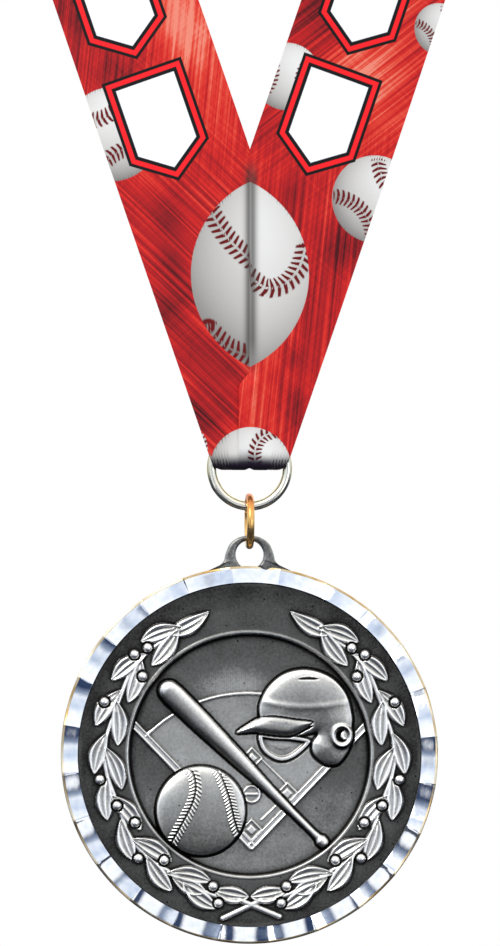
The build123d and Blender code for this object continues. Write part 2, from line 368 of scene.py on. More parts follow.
def medalPoints(x, z, height):
    # plan millimetres and height over the dish floor to the medal's place
    dishY = backY - (medal["thickness"] - medal["fieldDepth"] - medal["dishDepth"]) * mm
    return np.stack([x * mm, dishY - height * mm, medalZ + z * mm], axis=-1)


fieldHeight = medal["dishDepth"]
rimHeight = medal["dishDepth"] + medal["fieldDepth"]
backHeight = rimHeight - medal["thickness"]
faceRadius = medal["radius"] - medal["bevel"]
rimInner = faceRadius - medal["rimWidth"]


def castingBody():
    # disc with cut rim, side and back, as closed rings from under the relief round to the back
    segments = medal["scoops"] * 40
    angle = np.arange(segments) * 2 * math.pi / segments  # clockwise from the top
    facet = 2 * math.pi / medal["scoops"]
    within = (angle - math.radians(medal["scoopTurn"]) + facet / 2) % facet - facet / 2
    halfChord = faceRadius * math.tan(facet / 2)
    scoopRadius = (halfChord**2 + medal["scoopDepth"] ** 2) / (2 * medal["scoopDepth"])
    rings, slots = [], []

    def addRing(radius, height, slot):
        rings.append(medalPoints(radius * np.sin(angle), radius * np.cos(angle), height + 0 * angle))
        slots.append(slot)

    # no two cuts are quite alike: each leans out a little more or less and sits a little aside
    scoops, spread, shift = medal["scoops"], medal["leanSpread"], medal["asideSpread"]
    which = ((angle - math.radians(medal["scoopTurn"]) + facet / 2) // facet).astype(int) % scoops
    lean = np.radians(medal["scoopLean"] + rng.uniform(-spread, spread, scoops))[which]
    aside = rng.uniform(-shift, shift, scoops)[which]

    def scooped(radius):
        across = radius * np.tan(within) + aside
        centre = rimHeight + scoopRadius - medal["scoopDepth"]
        cut = centre - np.sqrt(scoopRadius**2 - across**2)
        return np.minimum(cut, rimHeight) - (radius - rimInner) * np.tan(lean)

    addRing(0.01, medal["under"], 0)
    addRing(rimInner - 0.05, medal["under"], 0)
    addRing(rimInner - 0.03, scooped(rimInner) - 0.12, 0)
    addRing(rimInner + 0.05, scooped(rimInner), 1)
    for share in np.linspace(0.1, 1, 6):
        radius = rimInner + share * (faceRadius - rimInner)
        addRing(radius, scooped(radius), 1)
    top = np.minimum(scooped(faceRadius), rimHeight - 0.02)
    sideTop = np.minimum(rimHeight - medal["bevel"], top - 0.2)
    for share in (0.35, 0.7, 1.0):
        outward = math.sin(share * math.pi / 2)
        drop = 1 - math.cos(share * math.pi / 2)
        addRing(faceRadius + medal["bevel"] * outward, top + (sideTop - top) * drop, 2)
    addRing(medal["radius"], backHeight + medal["bevel"], 2)
    addRing(faceRadius + 0.6 * medal["bevel"], backHeight + 0.12, 2)
    addRing(faceRadius, backHeight, 0)
    addRing(faceRadius - medal["backRim"], backHeight, 0)
    addRing(faceRadius - medal["backRim"] - 2 * medal["backSunk"], backHeight + medal["backSunk"], 0)
    addRing(0.01, backHeight + medal["backSunk"], 0)
    faces = [face[::-1] for face in ringFaces(len(rings), segments)]
    last = (len(rings) - 1) * segments
    faces.append(tuple(range(segments)))
    faces.append(tuple(last + i for i in reversed(range(segments))))
    body = newPiece("medal_casting", np.concatenate(rings), faces, silverAntique)
    body.data.materials.append(silverCut)
    body.data.materials.append(brassEdge)
    index = [slots[r + 1] for r in range(len(rings) - 1) for i in range(segments)] + [0, 0]
    body.data.polygons.foreach_set("material_index", index)
    backPoints = 4 * segments  # the plain back was rubbed paler than the walls of the field
    rub = np.full(len(body.data.vertices), medal["wallRub"])
    rub[-backPoints:] = medal["backRub"]
    setField(body.data, "rub", rub)
    sharpen(body, 24)
    return body


def sharpen(piece, degrees):
    # keep cut edges crisp and round ones smooth
    piece.data.set_sharp_from_angle(angle=math.radians(degrees))


def finishPiece(piece, body):
    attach(piece, body)
    return piece


casting = finishPiece(castingBody(), "medal")
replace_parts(casting, "medal")
print("casting made")


# lug: the loop on top, rounded all round, with a chamfered hole
lug = {"hole": 2.25, "thickness": 2.0, "chamfer": 0.4, "round": 0.35, "segments": 180,
       "frontRub": 0.5, "sideRub": 0.62,
       "outline": [(0, 3.1), (1.7, 2.75), (3.1, 1.75), (3.8, 0.2), (4.1, -0.95), (4.85, -1.75),
                   (6.2, -2.5), (8.2, -3.4), (4.5, -4.6), (0, -4.9)]}


def lugReach(angle):
    # distance from the hole's middle to the outline, where angle 0 is straight up
    curve = np.array(smoothOutline(lug["outline"], 8, closed=False))
    around = np.arctan2(curve[:, 0], curve[:, 1])
    apart = np.abs((angle + math.pi) % (2 * math.pi) - math.pi)
    return np.interp(apart, around, np.hypot(curve[:, 0], curve[:, 1]))


def castingLug():
    n = lug["segments"]
    angle = np.arange(n) * 2 * math.pi / n
    reach = lugReach(angle)
    half = lug["thickness"] / 2
    middle = (rimHeight + backHeight) / 2
    centre = faceRadius + lug["hole"]
    profile = [(lug["hole"] + 0 * angle, half - lug["chamfer"]),
               (lug["hole"] + 0.35 * lug["chamfer"] + 0 * angle, half - 0.12),
               (lug["hole"] + lug["chamfer"] + 0 * angle, half)]
    profile += [(reach - lug["round"], half), (reach - 0.3 * lug["round"], half - 0.3 * lug["round"]),
                (reach, half - lug["round"])]
    profile += [(radius, -height) for radius, height in reversed(profile)]
    rings = []
    for r, h in profile:
        x, z = r * np.sin(angle), centre + r * np.cos(angle)
        # its foot runs in under the rim
        under = smoothStep(medal["radius"] + 0.15, faceRadius - 0.1, np.hypot(x, z))
        rings.append(medalPoints(x, z, middle + h * (1 - 0.7 * under)))
    faces = [face[::-1] for face in ringFaces(len(rings), n, closed=True)]
    piece = newPiece("medal_lug", np.concatenate(rings), faces, silverAntique)
    front = np.array([h > half - 0.05 for r, h in profile for i in range(n)])
    setField(piece.data, "rub", np.where(front, lug["frontRub"], lug["sideRub"]))
    sharpen(piece, 50)
    return piece


finishPiece(castingLug(), "medal")
print("lug made")

# the medal's face: one raised relief, worked out as a height over the dish at every point


def alongLine(x, z, start, end):
    # place along a line, 0 to 1, and distance from it
    dx, dz = end[0] - start[0], end[1] - start[1]
    length = math.hypot(dx, dz)
    along = ((x - start[0]) * dx + (z - start[1]) * dz) / length**2
    near = np.clip(along, 0, 1)
    away = np.hypot(x - start[0] - near * dx, z - start[1] - near * dz)
    return along, away


def ridge(away, width, height):
    # a thin raised line with a round top
    return height * np.sqrt(np.clip(1 - (away / (width / 2)) ** 2, 0, 1))


def alongPath(x, z, path):
    # distance from a smooth path and the length gone along it, then the path's whole length
    points = smoothOutline(path, 8, closed=False)
    lengths = np.cumsum([0] + [math.dist(a, b) for a, b in zip(points, points[1:])])
    best = np.full(x.shape, 1e9)
    place = np.zeros(x.shape)
    for i, (a, b) in enumerate(zip(points, points[1:])):
        along, away = alongLine(x, z, a, b)
        closer = away < best
        best = np.where(closer, away, best)
        spot = lengths[i] + np.clip(along, 0, 1) * (lengths[i + 1] - lengths[i])
        place = np.where(closer, spot, place)
    return best, place, lengths[-1]


def insideOutline(x, z, outline):
    # distance inside a closed outline of points, negative outside
    distance = np.full(x.shape, 1e9)
    crossings = np.zeros(x.shape, int)
    for i, (ax, az) in enumerate(outline):
        bx, bz = outline[(i + 1) % len(outline)]
        distance = np.minimum(distance, alongLine(x, z, (ax, az), (bx, bz))[1])
        spans = (az > z) != (bz > z)
        where = ax + (z - az) * (bx - ax) / ((bz - az) if bz != az else 1e-9)
        crossings += spans & (x < where)
    return np.where(crossings % 2 == 1, distance, -distance)


def domed(inside, roundness, height):
    # height of a form that rounds up from its outline
    share = np.clip(inside / roundness, 0, 1)
    return height * np.sqrt(np.clip(1 - (1 - share) ** 2, 0, 1))


wreath = {
    "leafWidth": 2.7,
    "leafRise": 0.8,
    "innerReach": 21.45,
    "outerReach": 24.2,
    "branchReach": 22.9,
    "splay": 17.0,
    "berry": 0.8,
    "berryGap": 1.05,
    # the two stalks that cross at the bottom: start, end and width
    "stalks": [((1.9, -23.2), (-4.3, -26.1), 0.95), ((-1.6, -23.2), (4.7, -25.8), 0.95)],
}


def wreathLeaves():
    # angle up the left branch, reach, length, lean away from the branch's own direction
    leaves = [(8.0, 22.6, 6.0, 4.0), (25.0, 23.2, 6.0, 0.0), (155.0, 22.7, 7.6, -4.0)]
    leaves += [(27.0 + 19.2 * k, wreath["innerReach"], 7.4, -wreath["splay"]) for k in range(7)]
    leaves += [(20.0 + 17.7 * k, wreath["outerReach"], 7.0, wreath["splay"]) for k in range(8)]
    return leaves


berries = [(15.6, 21.8), (11.9, 24.2), (39.0, 21.7), (47.0, 24.3), (59.3, 21.3), (69.0, 22.7),
           (80.5, 24.3), (109.9, 24.7), (126.1, 21.2), (130.9, 24.4), (136.2, 23.6)]


def leafHeight(x, z, angle, reach, length, lean):
    # a long laurel leaf: raised edges that rub bright, a rib and two dark valleys
    a = math.radians(angle)
    cx, cz = -reach * math.sin(a), -reach * math.cos(a)
    way = a + math.radians(lean)
    ux, uz = -math.cos(way), math.sin(way)
    along = (x - cx) * ux + (z - cz) * uz
    across = -(x - cx) * uz + (z - cz) * ux
    across = across + 0.035 * along**2 * (1 if lean >= 0 else -1)
    share = np.clip(2 * along / length, -1, 1)
    width = wreath["leafWidth"] / 2 * np.cos(share * math.pi / 2) ** 0.8 * (1 - 0.22 * share)
    width = np.maximum(width, 1e-3)
    t = across / width * (1 if lean >= 0 else -1)
    inside = (np.abs(2 * along / length) < 1) & (np.abs(t) < 1.1)
    # each half is a hollow blade: the outer one turns up more than the inner one
    edge = np.exp(-(((np.abs(t) - 0.74) / 0.3) ** 2)) * np.where(t > 0, 1.0, 0.75)
    rib = 0.8 * np.exp(-((t / 0.2) ** 2)) * (1 - smoothStep(0.4, 0.95, share))
    side = 0.2 + 0.68 * edge + 0.55 * rib
    fall = 1 - smoothStep(0.92, 1.1, np.abs(t))
    height = wreath["leafRise"] * side * fall * (0.8 + 0.2 * share)
    return np.where(inside, np.maximum(height, 0.06), 0)


def wreathHeight(x, z):
    left = -np.abs(x)  # the right branch mirrors the left
    height = np.zeros(x.shape)
    radius = np.hypot(x, z)
    angle = np.degrees(np.arctan2(-left, -z))
    wave = wreath["branchReach"] + 0.35 * np.sin(np.radians(angle * 9))
    stem = ridge(np.abs(radius - wave), 0.7, 0.34) * (angle > 4) * (angle < 149)
    height = np.maximum(height, stem)
    for leaf in wreathLeaves():
        height = np.maximum(height, leafHeight(left, z, *leaf))
    for angleOf, reach in berries:
        a = math.radians(angleOf)
        away = np.hypot(left + reach * math.sin(a), z + reach * math.cos(a))
        berry = np.sqrt(np.clip(wreath["berry"] ** 2 - away**2, 0, 1)) * 0.92
        height = np.where(away < wreath["berryGap"], 0, height)
        height = np.maximum(height, berry)
    for start, end, width in wreath["stalks"]:
        away = alongLine(x, z, start, end)[1]
        height = np.maximum(height, ridge(away, width, 0.42))
    return height


ballPark = {
    "plate": (0.3, -12.0),
    "tip": (0.3, -14.6),
    "leftEnd": (-19.0, 5.3),
    "rightEnd": (18.9, 4.9),
    "bases": [(6.05, -6.15), (0.4, -0.55)],
    "baseHalf": 1.3,
    "mound": (0.35, -6.3),
    "moundRadius": 1.5,
    "arcCentre": (-0.2, -13.0),
    "arcRadius": 22.8,
}


def boxAway(x, z, centre, half):
    # distance from the outline of a square stood on its corner
    u = np.abs(x - centre[0]) + np.abs(z - centre[1])
    return (u - half) / math.sqrt(2)


def parkHeight(x, z):
    height = np.zeros(x.shape)
    for end in (ballPark["leftEnd"], ballPark["rightEnd"]):
        along, away = alongLine(x, z, ballPark["tip"], end)
        lines = np.maximum(ridge(np.abs(away - 0.42), 0.42, 0.3), 0.16 * (away < 0.42))
        height = np.maximum(height, lines)
    arcAway = np.abs(np.hypot(x - ballPark["arcCentre"][0], z - ballPark["arcCentre"][1])
                     - ballPark["arcRadius"])
    between = (z > ballPark["tip"][1] + np.abs(x - 0.3) + 0.5)
    height = np.maximum(height, ridge(arcAway, 0.5, 0.26) * between * (x < 4))
    # the grass cut-out on the left and the path between the bases
    height = np.maximum(height, ridge(alongLine(x, z, (-16.4, 3.4), (-12.2, 6.3))[1], 0.36, 0.2))
    first, second = ballPark["bases"]
    pathAway = alongLine(x, z, first, second)[1]
    height = np.maximum(height, ridge(np.abs(pathAway - 0.95), 0.3, 0.22))
    homeAway = alongLine(x, z, (1.9, -10.4), (4.8, -7.6))[1]
    height = np.maximum(height, ridge(homeAway, 0.34, 0.22))
    for centre in (ballPark["plate"], first, second):
        square = boxAway(x, z, centre, ballPark["baseHalf"] * 1.25)
        height = np.where(square < 0.15, 0.05, height)
        height = np.maximum(height, ridge(np.abs(square), 0.34, 0.32))
        inner = boxAway(x, z, centre, ballPark["baseHalf"] * 0.62)
        height = np.maximum(height, 0.24 * smoothStep(0.12, -0.12, inner))
    away = np.hypot(x - ballPark["mound"][0], z - ballPark["mound"][1])
    moundRim = ridge(np.abs(away - ballPark["moundRadius"] + 0.2), 0.42, 0.34)
    bar = alongLine(x, z, (-0.45, -6.3), (1.15, -6.3))[1]
    height = np.where(away < ballPark["moundRadius"], 0.08, height)
    return np.maximum.reduce([height, moundRim, ridge(bar, 0.6, 0.3)])


baseball = {"centre": (-7.81, -8.98), "radius": 7.22, "rise": 1.5, "stitches": 15}
seamPaths = [
    [(-2.0, 6.9), (-1.1, 5.6), (-0.85, 3.4), (-1.4, 1.1), (-2.7, -1.5), (-4.3, -4.4), (-4.9, -5.6)],
    [(2.5, 6.9), (3.3, 5.4), (4.0, 3.6), (4.65, 1.6), (5.15, -0.6), (5.7, -2.6), (6.3, -4.2)],
]


def baseballHeight(x, z):
    bx, bz = x - baseball["centre"][0], z - baseball["centre"][1]
    away = np.hypot(bx, bz)
    inside = baseball["radius"] - away
    height = domed(inside, baseball["radius"], baseball["rise"] - 0.35) + 0.35 * smoothStep(0, 0.25, inside)
    for path in seamPaths:
        best, place, whole = alongPath(bx, bz, path)
        chevron = np.cos((place * baseball["stitches"] / whole * 1.5 - best * 0.9) * 2 * math.pi)
        thread = np.clip(chevron, 0, 1) ** 0.6 * (best < 0.95) * (best > 0.12)
        seam = -0.22 * np.exp(-((best / 0.14) ** 2)) + 0.13 * thread
        height = height + np.where(inside > 0.15, seam, 0)
    return np.where(inside > 0, height, 0), inside


bat = {"barrel": (-12.9, 10.2), "knob": (11.75, -14.0), "rise": 0.8}


def batHeight(x, z):
    along, away = alongLine(x, z, bat["barrel"], bat["knob"])
    stations = [0.0, 0.03, 0.2, 0.45, 0.62, 0.8, 0.93, 0.965, 0.985, 1.0]
    halves = [1.72, 1.85, 1.72, 1.3, 0.85, 0.58, 0.52, 0.62, 1.0, 0.95]
    half = np.interp(np.clip(along, 0, 1), stations, halves)
    inside = half - away
    height = bat["rise"] * np.sqrt(np.clip(1 - (away / half) ** 2, 0, 1)) * np.clip(half, 0.7, 1.5)
    return np.where(inside > 0, height + 0.15, 0), inside


helmetShape = {
    "dome": [(1.5, 6.1), (1.55, 8.2), (2.9, 10.9), (5.6, 13.1), (9.2, 13.75), (12.9, 12.6), (15.5, 9.9),
             (16.5, 6.4), (16.5, 4.4), (16.5, 2.4), (15.6, 0.0), (14.0, -1.7), (11.9, -1.5), (10.1, 0.0),
             (9.9, 1.9), (10.7, 3.4), (8.0, 3.0), (4.0, 3.4), (2.0, 4.4)],
    "brim": [(-2.15, 3.45), (-0.3, 4.9), (1.6, 5.9), (4.0, 6.15), (7.0, 5.75), (10.2, 5.25), (8.6, 4.0),
             (6.4, 3.05), (3.4, 3.2), (0.8, 3.55)],
    "shell": [(1.5, 3.3), (1.8, 1.0), (3.3, -0.5), (5.3, -1.1), (7.6, -0.2), (9.8, 2.2), (7.0, 3.0),
              (4.0, 3.2)],
    "hole": (14.75, 3.0),
}


def helmetHeight(x, z):
    dome = insideOutline(x, z, smoothOutline(helmetShape["dome"]))
    shell = insideOutline(x, z, smoothOutline(helmetShape["shell"]))
    brim = insideOutline(x, z, smoothOutline(helmetShape["brim"], 4))
    height = np.zeros(x.shape)
    # the far side of the shell seen past the brim: a rim round a hollow
    hollow = 0.5 * smoothStep(0, 0.15, shell) - 0.42 * smoothStep(0.55, 0.95, shell)
    height = np.where(shell > 0, hollow + 0.1 * smoothStep(1.2, 3.0, shell), height)
    lobe = domed(dome, 5.2, 1.0) + 0.3 * smoothStep(0, 0.25, dome)
    crease = 0.1 * np.exp(-((z - 7.6 - 0.02 * (x - 9) ** 2) / 0.5) ** 2)
    height = np.where(dome > 0, lobe + crease, height)
    ex, ez = x - helmetShape["hole"][0], z - helmetShape["hole"][1]
    ear = np.hypot(ex / 1.0, ez / 1.1)
    rim = 0.42 * np.exp(-(((ear - 1.45) / 0.33) ** 2))
    pit = -0.85 * smoothStep(1.05, 0.75, np.hypot(ex, ez)) * (np.hypot(ex - 0.55, ez - 0.1) > 0.75)
    height = np.where(dome > 0, height + rim + pit, height)
    vent = np.hypot((x - 9.4) / 1.5, (z - 12.15 + 0.06 * (x - 9.4) ** 2) / 0.16)
    height = np.where(dome > 0, height - 0.35 * smoothStep(1.25, 0.7, vent), height)
    visor = 0.35 + domed(brim, 1.5, 0.85)
    height = np.where(brim > 0, np.maximum(visor, 0.35 * height + visor * 0.7), height)
    under = (brim <= 0) & (brim > -0.35) & (z < 4.6)
    height = np.where(under, np.minimum(height, 0.05), height)
    inside = np.maximum.reduce([dome, shell, brim])
    return np.where(inside > 0, height, 0), inside


face = {"pitch": 0.1, "edge": 27.48, "wall": 0.26, "channel": 0.28, "behind": 1.0}
# how far each place was rubbed back after blackening, from 0 to 1, with painted light added: a highlight
# above the outfield and lighter upper sides on the forms
rubbedAndLit = {"field": 0.4, "fieldEdge": -0.12, "fieldFoot": 0.05, "dish": 0.4, "dishFoot": 0.18,
          "fair": 0.74, "fairTop": -0.08, "brushedHighlight": 0.3, "form": 0.6, "formSlope": 0.6, "leaf": 0.86,
          "edges": 1.7, "broad": 0.45, "behind": 0.3}


def blurred(field, cells):
    kernel = np.ones(2 * cells + 1) / (2 * cells + 1)
    for axis in (0, 1):
        field = np.apply_along_axis(lambda row: np.convolve(row, kernel, mode="same"), axis, field)
    return field


def medalFace():
    span = face["edge"] + 3 * face["pitch"]
    ticks = np.arange(-span, span + face["pitch"] / 2, face["pitch"])
    x, z = np.meshgrid(ticks, ticks, indexing="ij")
    radius = np.hypot(x, z)
    wall = smoothStep(medal["dishRadius"] - face["wall"], medal["dishRadius"] + face["wall"], radius)
    height = fieldHeight * wall + ridge(np.abs(radius - medal["dishRadius"] - 0.45), 0.5, 0.1)
    inDish = radius < medal["dishRadius"] - face["wall"]
    relief = parkHeight(x, z)
    ballIs, ballInside = baseballHeight(x, z)
    batIs, batInside = batHeight(x, z)
    helmetIs, helmetInside = helmetHeight(x, z)
    # a fine dark channel is cut round each raised form
    nearest = np.maximum.reduce([ballInside, batInside, helmetInside])
    relief = np.where(nearest > -face["channel"], -0.12, relief)
    relief = np.where(ballInside > 0, ballIs, relief)
    relief = np.where(helmetInside > 0, helmetIs, relief)
    relief = np.where(batInside > 0, batIs, np.where(batInside > -0.25, np.minimum(relief, -0.1), relief))
    height = np.where(inDish | (ballInside > 0), relief, height)
    inField = radius > medal["dishRadius"] + 0.9
    leaves = wreathHeight(x, z)
    height = np.where(inField, height + leaves, height)
    cavity = height - blurred(height, 4)
    broad = height - blurred(height, 12)
    base = rubbedAndLit["field"] + rubbedAndLit["fieldEdge"] * smoothStep(22.5, 27.3, radius)
    base = base + rubbedAndLit["fieldFoot"] * smoothStep(12, -22, z)
    # how far each place was rubbed back: the fair ground is brighter than the ground behind it. The dish and
    # the field are lighter towards the bottom, and the fair ground is darker towards its top
    arc = np.hypot(x - ballPark["arcCentre"][0], z - ballPark["arcCentre"][1]) < ballPark["arcRadius"]
    fair = inDish & arc & (z > ballPark["tip"][1] + np.abs(x - 0.3))
    base = np.where(inDish, rubbedAndLit["dish"] + rubbedAndLit["dishFoot"] * smoothStep(2, -14, z), base)
    base = np.where(fair, rubbedAndLit["fair"] + rubbedAndLit["fairTop"] * smoothStep(-4, 8, z), base)
    # above the outfield the ground was brushed up and down, and the brushed patch is painted lighter there as
    # a highlight
    sheen = np.exp(-(((z - 10.5) / 3.4) ** 2) - ((x + 2.5) / 6.5) ** 2) * (inDish & ~fair)
    base = base + sheen * (rubbedAndLit["brushedHighlight"] + 0.04 * np.sin(x * 21.0) + 0.03 * np.sin(x * 37.0 + 1.0))
    raised = (leaves > 0.05) | (inDish & (relief > 0.1))
    form = inDish & (nearest > 0)
    base = np.where(raised, np.where(form, rubbedAndLit["form"], rubbedAndLit["leaf"]), base)
    # painted light: the forms are painted lighter on their upper sides and darker on their lower sides, as if
    # lit from above
    slope = np.clip(-np.gradient(height, face["pitch"], axis=1), -1, 1)
    base = base + np.where(form, rubbedAndLit["formSlope"] * slope, 0)
    rub = np.clip(base + rubbedAndLit["edges"] * cavity + rubbedAndLit["broad"] * broad, 0, 1)
    keep = radius <= face["edge"]
    index = np.full(x.shape, -1)
    index[keep] = np.arange(keep.sum())
    points = medalPoints(x[keep], z[keep], height[keep])
    return points, gridQuads(index, keep), rub[keep]


def closeBehind(points, quads, depth):
    # a skirt and a back, so that the relief is a closed body
    border = openEdges(quads)
    rimPoints = np.unique(border)
    back = np.full(len(points), -1)
    back[rimPoints] = len(points) + np.arange(len(rimPoints))
    behind = points[rimPoints].copy()
    behind[:, 1] = depth
    middle = np.array([[0, depth, medalZ]])
    centre = len(points) + len(rimPoints)
    skirt = np.stack([border[:, 1], border[:, 0], back[border[:, 0]], back[border[:, 1]]], axis=1)
    fan = [(int(back[q]), int(back[p]), centre) for p, q in border]
    return np.concatenate([points, behind, middle]), skirt, fan


def buildFace():
    points, quads, rub = medalFace()
    allPoints, skirt, fan = closeBehind(points, quads, backY - face["behind"] * mm)
    mesh = bpy.data.meshes.new("medal_relief")
    corners = np.concatenate([quads.ravel(), skirt.ravel(), np.array(fan).ravel()]).astype(np.int32)
    sizes = np.array([4] * (len(quads) + len(skirt)) + [3] * len(fan), dtype=np.int32)
    mesh.vertices.add(len(allPoints))
    mesh.vertices.foreach_set("co", allPoints.astype(np.float32).ravel())
    mesh.loops.add(len(corners))
    mesh.loops.foreach_set("vertex_index", corners)
    mesh.polygons.add(len(sizes))
    mesh.polygons.foreach_set("loop_start", np.concatenate([[0], np.cumsum(sizes)[:-1]]).astype(np.int32))
    mesh.update(calc_edges=True)
    mesh.validate()
    mesh.materials.append(silverAntique)
    mesh.shade_smooth()
    setField(mesh, "rub", np.concatenate([rub, np.full(len(allPoints) - len(rub), rubbedAndLit["behind"])]))
    piece = bpy.data.objects.new("medal_relief", mesh)
    bpy.context.collection.objects.link(piece)
    return piece


finishPiece(buildFace(), "medal")
print("relief made")

# rings: round wire, the ribbon's ring soldered shut and the jump ring closed on a fine cut


def platedWire(name, colours, stainScale, stainShare, smoothest, roughest):
    # round wire drawn through a die, then plated: fine lines, and stains where the plating wears
    material, tree, shader = newMaterial(name)
    wear = addNode(tree, "ShaderNodeAttribute", attribute_name="wear").outputs["Fac"]
    place = addNode(tree, "ShaderNodeTexCoord").outputs["Object"]
    stain = addNode(tree, "ShaderNodeTexNoise", {"Vector": place, "Scale": stainScale, "Detail": 4.0})
    known = workOut(tree, {"wear": wear, "stain": stain.outputs["Fac"]}, [
        "a SUBTRACT stain 0.5", f"b MULTIPLY a {stainShare}", "worn ADD wear b"])
    tree.links.new(colourRamp(tree, known["worn"], colours), shader.inputs["Base Color"])
    shader.inputs["Metallic"].default_value = 1.0
    rough = addNode(tree, "ShaderNodeMapRange", {"Value": known["worn"], "To Min": smoothest,
                                                 "To Max": roughest})
    tree.links.new(rough.outputs[0], shader.inputs["Roughness"])
    # drawing marks 0.7 mm long
    drawn = addNode(tree, "ShaderNodeTexNoise", {"Vector": place, "Scale": 1500.0, "Detail": 2.0})
    bump = addNode(tree, "ShaderNodeBump", {"Height": drawn.outputs["Fac"], "Strength": 0.08,
                                            "Distance": 0.05 * mm})
    tree.links.new(bump.outputs[0], shader.inputs["Normal"])
    return material


# nickel plated brass wire: bright silver, wearing to yellow brass on the ring's inner and outer
# sides where it rubs, so the yellow shows as thin lines along a silver wire
nickelWire = platedWire("nickelOverBrassPolished", [(0.0, "#f4f0e2"), (0.4, "#ddd5b8"), (0.66, "#bfae66"),
                                                    (0.95, "#8d803c")], 420.0, 0.5, 0.2, 0.34)
# copper-gold plated wire: warm yellow where polished, redder copper where the thin gold has gone
goldWire = platedWire("goldOverCopperPolished", [(0.0, "#ffe6ae"), (0.4, "#f2bf70"), (0.7, "#dc9150"),
                                                 (1.0, "#c06a3c")], 500.0, 0.55, 0.22, 0.36)

ringWire = {"ribbon_ring": 1.5, "jump_ring": 1.25, "around": 192, "across": 32, "cut": 0.05, "cutAt": 62.0,
            "pinch": 0.1, "solder": 0.05}


def wireRing(name, node, material, sideways, cut):
    # sideways: the ring faces along X, otherwise along Y; a cut ring has two flat ends that touch
    low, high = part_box(node)
    centre = (low + high) / 2
    wire = ringWire[node] / 2 * mm
    radius = (high.z - low.z) / 2 - wire
    n, m = ringWire["around"], ringWire["across"]
    gap = ringWire["cut"] * mm / radius if cut else 0.0
    turn = np.arange(n + 1 if cut else n) * (2 * math.pi - gap) / n + math.radians(ringWire["cutAt"])
    turn, about = np.meshgrid(turn, np.arange(m) * 2 * math.pi / m, indexing="ij")
    if cut:  # a slight step where the pliers closed the two ends
        ends = np.minimum(turn - turn.min(), turn.max() - turn)
        bead = 1 - ringWire["pinch"] * (1 - smoothStep(0, 0.02, ends))
    else:  # the soldered joint is a little fuller than the wire
        bead = 1 + ringWire["solder"] * np.exp(-(((turn - turn.mean()) / 0.09) ** 2))
    out = radius + wire * bead * np.cos(about)
    side = wire * bead * np.sin(about)
    level, up = out * np.sin(turn), out * np.cos(turn)
    axes = (side, level) if sideways else (level, side)
    points = np.stack([centre.x + axes[0], centre.y + axes[1], centre.z + up], axis=-1).reshape(-1, 3)
    faces = ringFaces(turn.shape[0], m, closed=not cut)
    if cut:
        last = (turn.shape[0] - 1) * m
        faces += [tuple(reversed(range(m))), tuple(last + i for i in range(m))]
    if not sideways:
        faces = [face[::-1] for face in faces]
    piece = newPiece(name, points, faces, material)
    # the jump ring has worn most at its top, the ribbon's ring along its inner and outer sides
    inOut = np.abs(np.cos(about))
    top = 0.5 + 0.5 * np.cos(turn)
    wear = 0.25 + 0.55 * top**4 + 0.18 * inOut if sideways else inOut**3 * 0.8 + 0.1 * rng.random()
    setField(piece.data, "wear", wear)
    sharpen(piece, 60)
    return piece


ribbonRing = finishPiece(wireRing("ribbon_ring_wire", "ribbon_ring", nickelWire, False, False),
                         "ribbon_ring")
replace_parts(ribbonRing, "ribbon_ring")
jumpRing = finishPiece(wireRing("jump_ring_wire", "jump_ring", goldWire, True, True),
                       "jump_ring")
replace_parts(jumpRing, "jump_ring")
print("rings made")

# neck ribbon: one strip on a cone whose front line hangs straight down, so nothing stretches

ribbon = {
    "width": 22.2,
    "length": 762.0,
    "legAngle": 19.0,
    "thickness": 0.5,
    "foldDrop": 50.5,
    "flap": 13.0,
    "overlapFrom": 35.3,
    "overlap": 1.75,
    "groove": 0.3,
    "lapTaper": 3.2,
    "lapRise": 0.52,
    "halfFoot": 6.1,
}
halfSpread = math.radians(90 - ribbon["legAngle"])
coneSine = halfSpread / math.pi
coneCosine = math.sqrt(1 - coneSine**2)
centreLength = ribbon["length"] - ribbon["width"] / math.tan(math.radians(ribbon["legAngle"]))
napeSlant = centreLength / 2 / math.tan(halfSpread)
halfWidth = ribbon["width"] / 2
notchSlant = (napeSlant - halfWidth) / math.cos(halfSpread)
foldSlant = notchSlant + ribbon["foldDrop"]
notchPlace = (napeSlant - halfWidth) * math.tan(halfSpread)


def conePlace(spread, slant, lift=0.0):
    # point on the cone at a flattened angle from the nape, lifted outward; millimetres
    turn = spread / coneSine
    radial = np.stack([np.sin(turn), coneCosine * np.cos(turn), coneSine * np.cos(turn)], axis=-1)
    axis = np.array([0, coneSine, -coneCosine])
    generator = axis * coneCosine + radial * coneSine
    normal = radial * coneCosine - axis * coneSine
    return generator * np.expand_dims(slant, -1) + normal * np.expand_dims(lift + 0 * slant, -1)


napePoint = conePlace(np.array(0.0), np.array(napeSlant), -ribbon["thickness"] / 2)
frontY = conePlace(np.array(halfSpread), np.array(foldSlant))[1] - napePoint[1]
foldZ = conePlace(np.array(halfSpread), np.array(foldSlant))[2] - napePoint[2]
notchZ = foldZ + ribbon["foldDrop"]
ringLow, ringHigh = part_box("ribbon_ring")
ringY = (ringLow.y + ringHigh.y) / 2 / mm
ringZ = (ringLow.z + ringHigh.z) / 2 / mm
ringOuter = (ringHigh.z - ringLow.z) / 2 / mm
wireHalf = ringWire["ribbon_ring"] / 2
ringMiddle = ringOuter - wireHalf


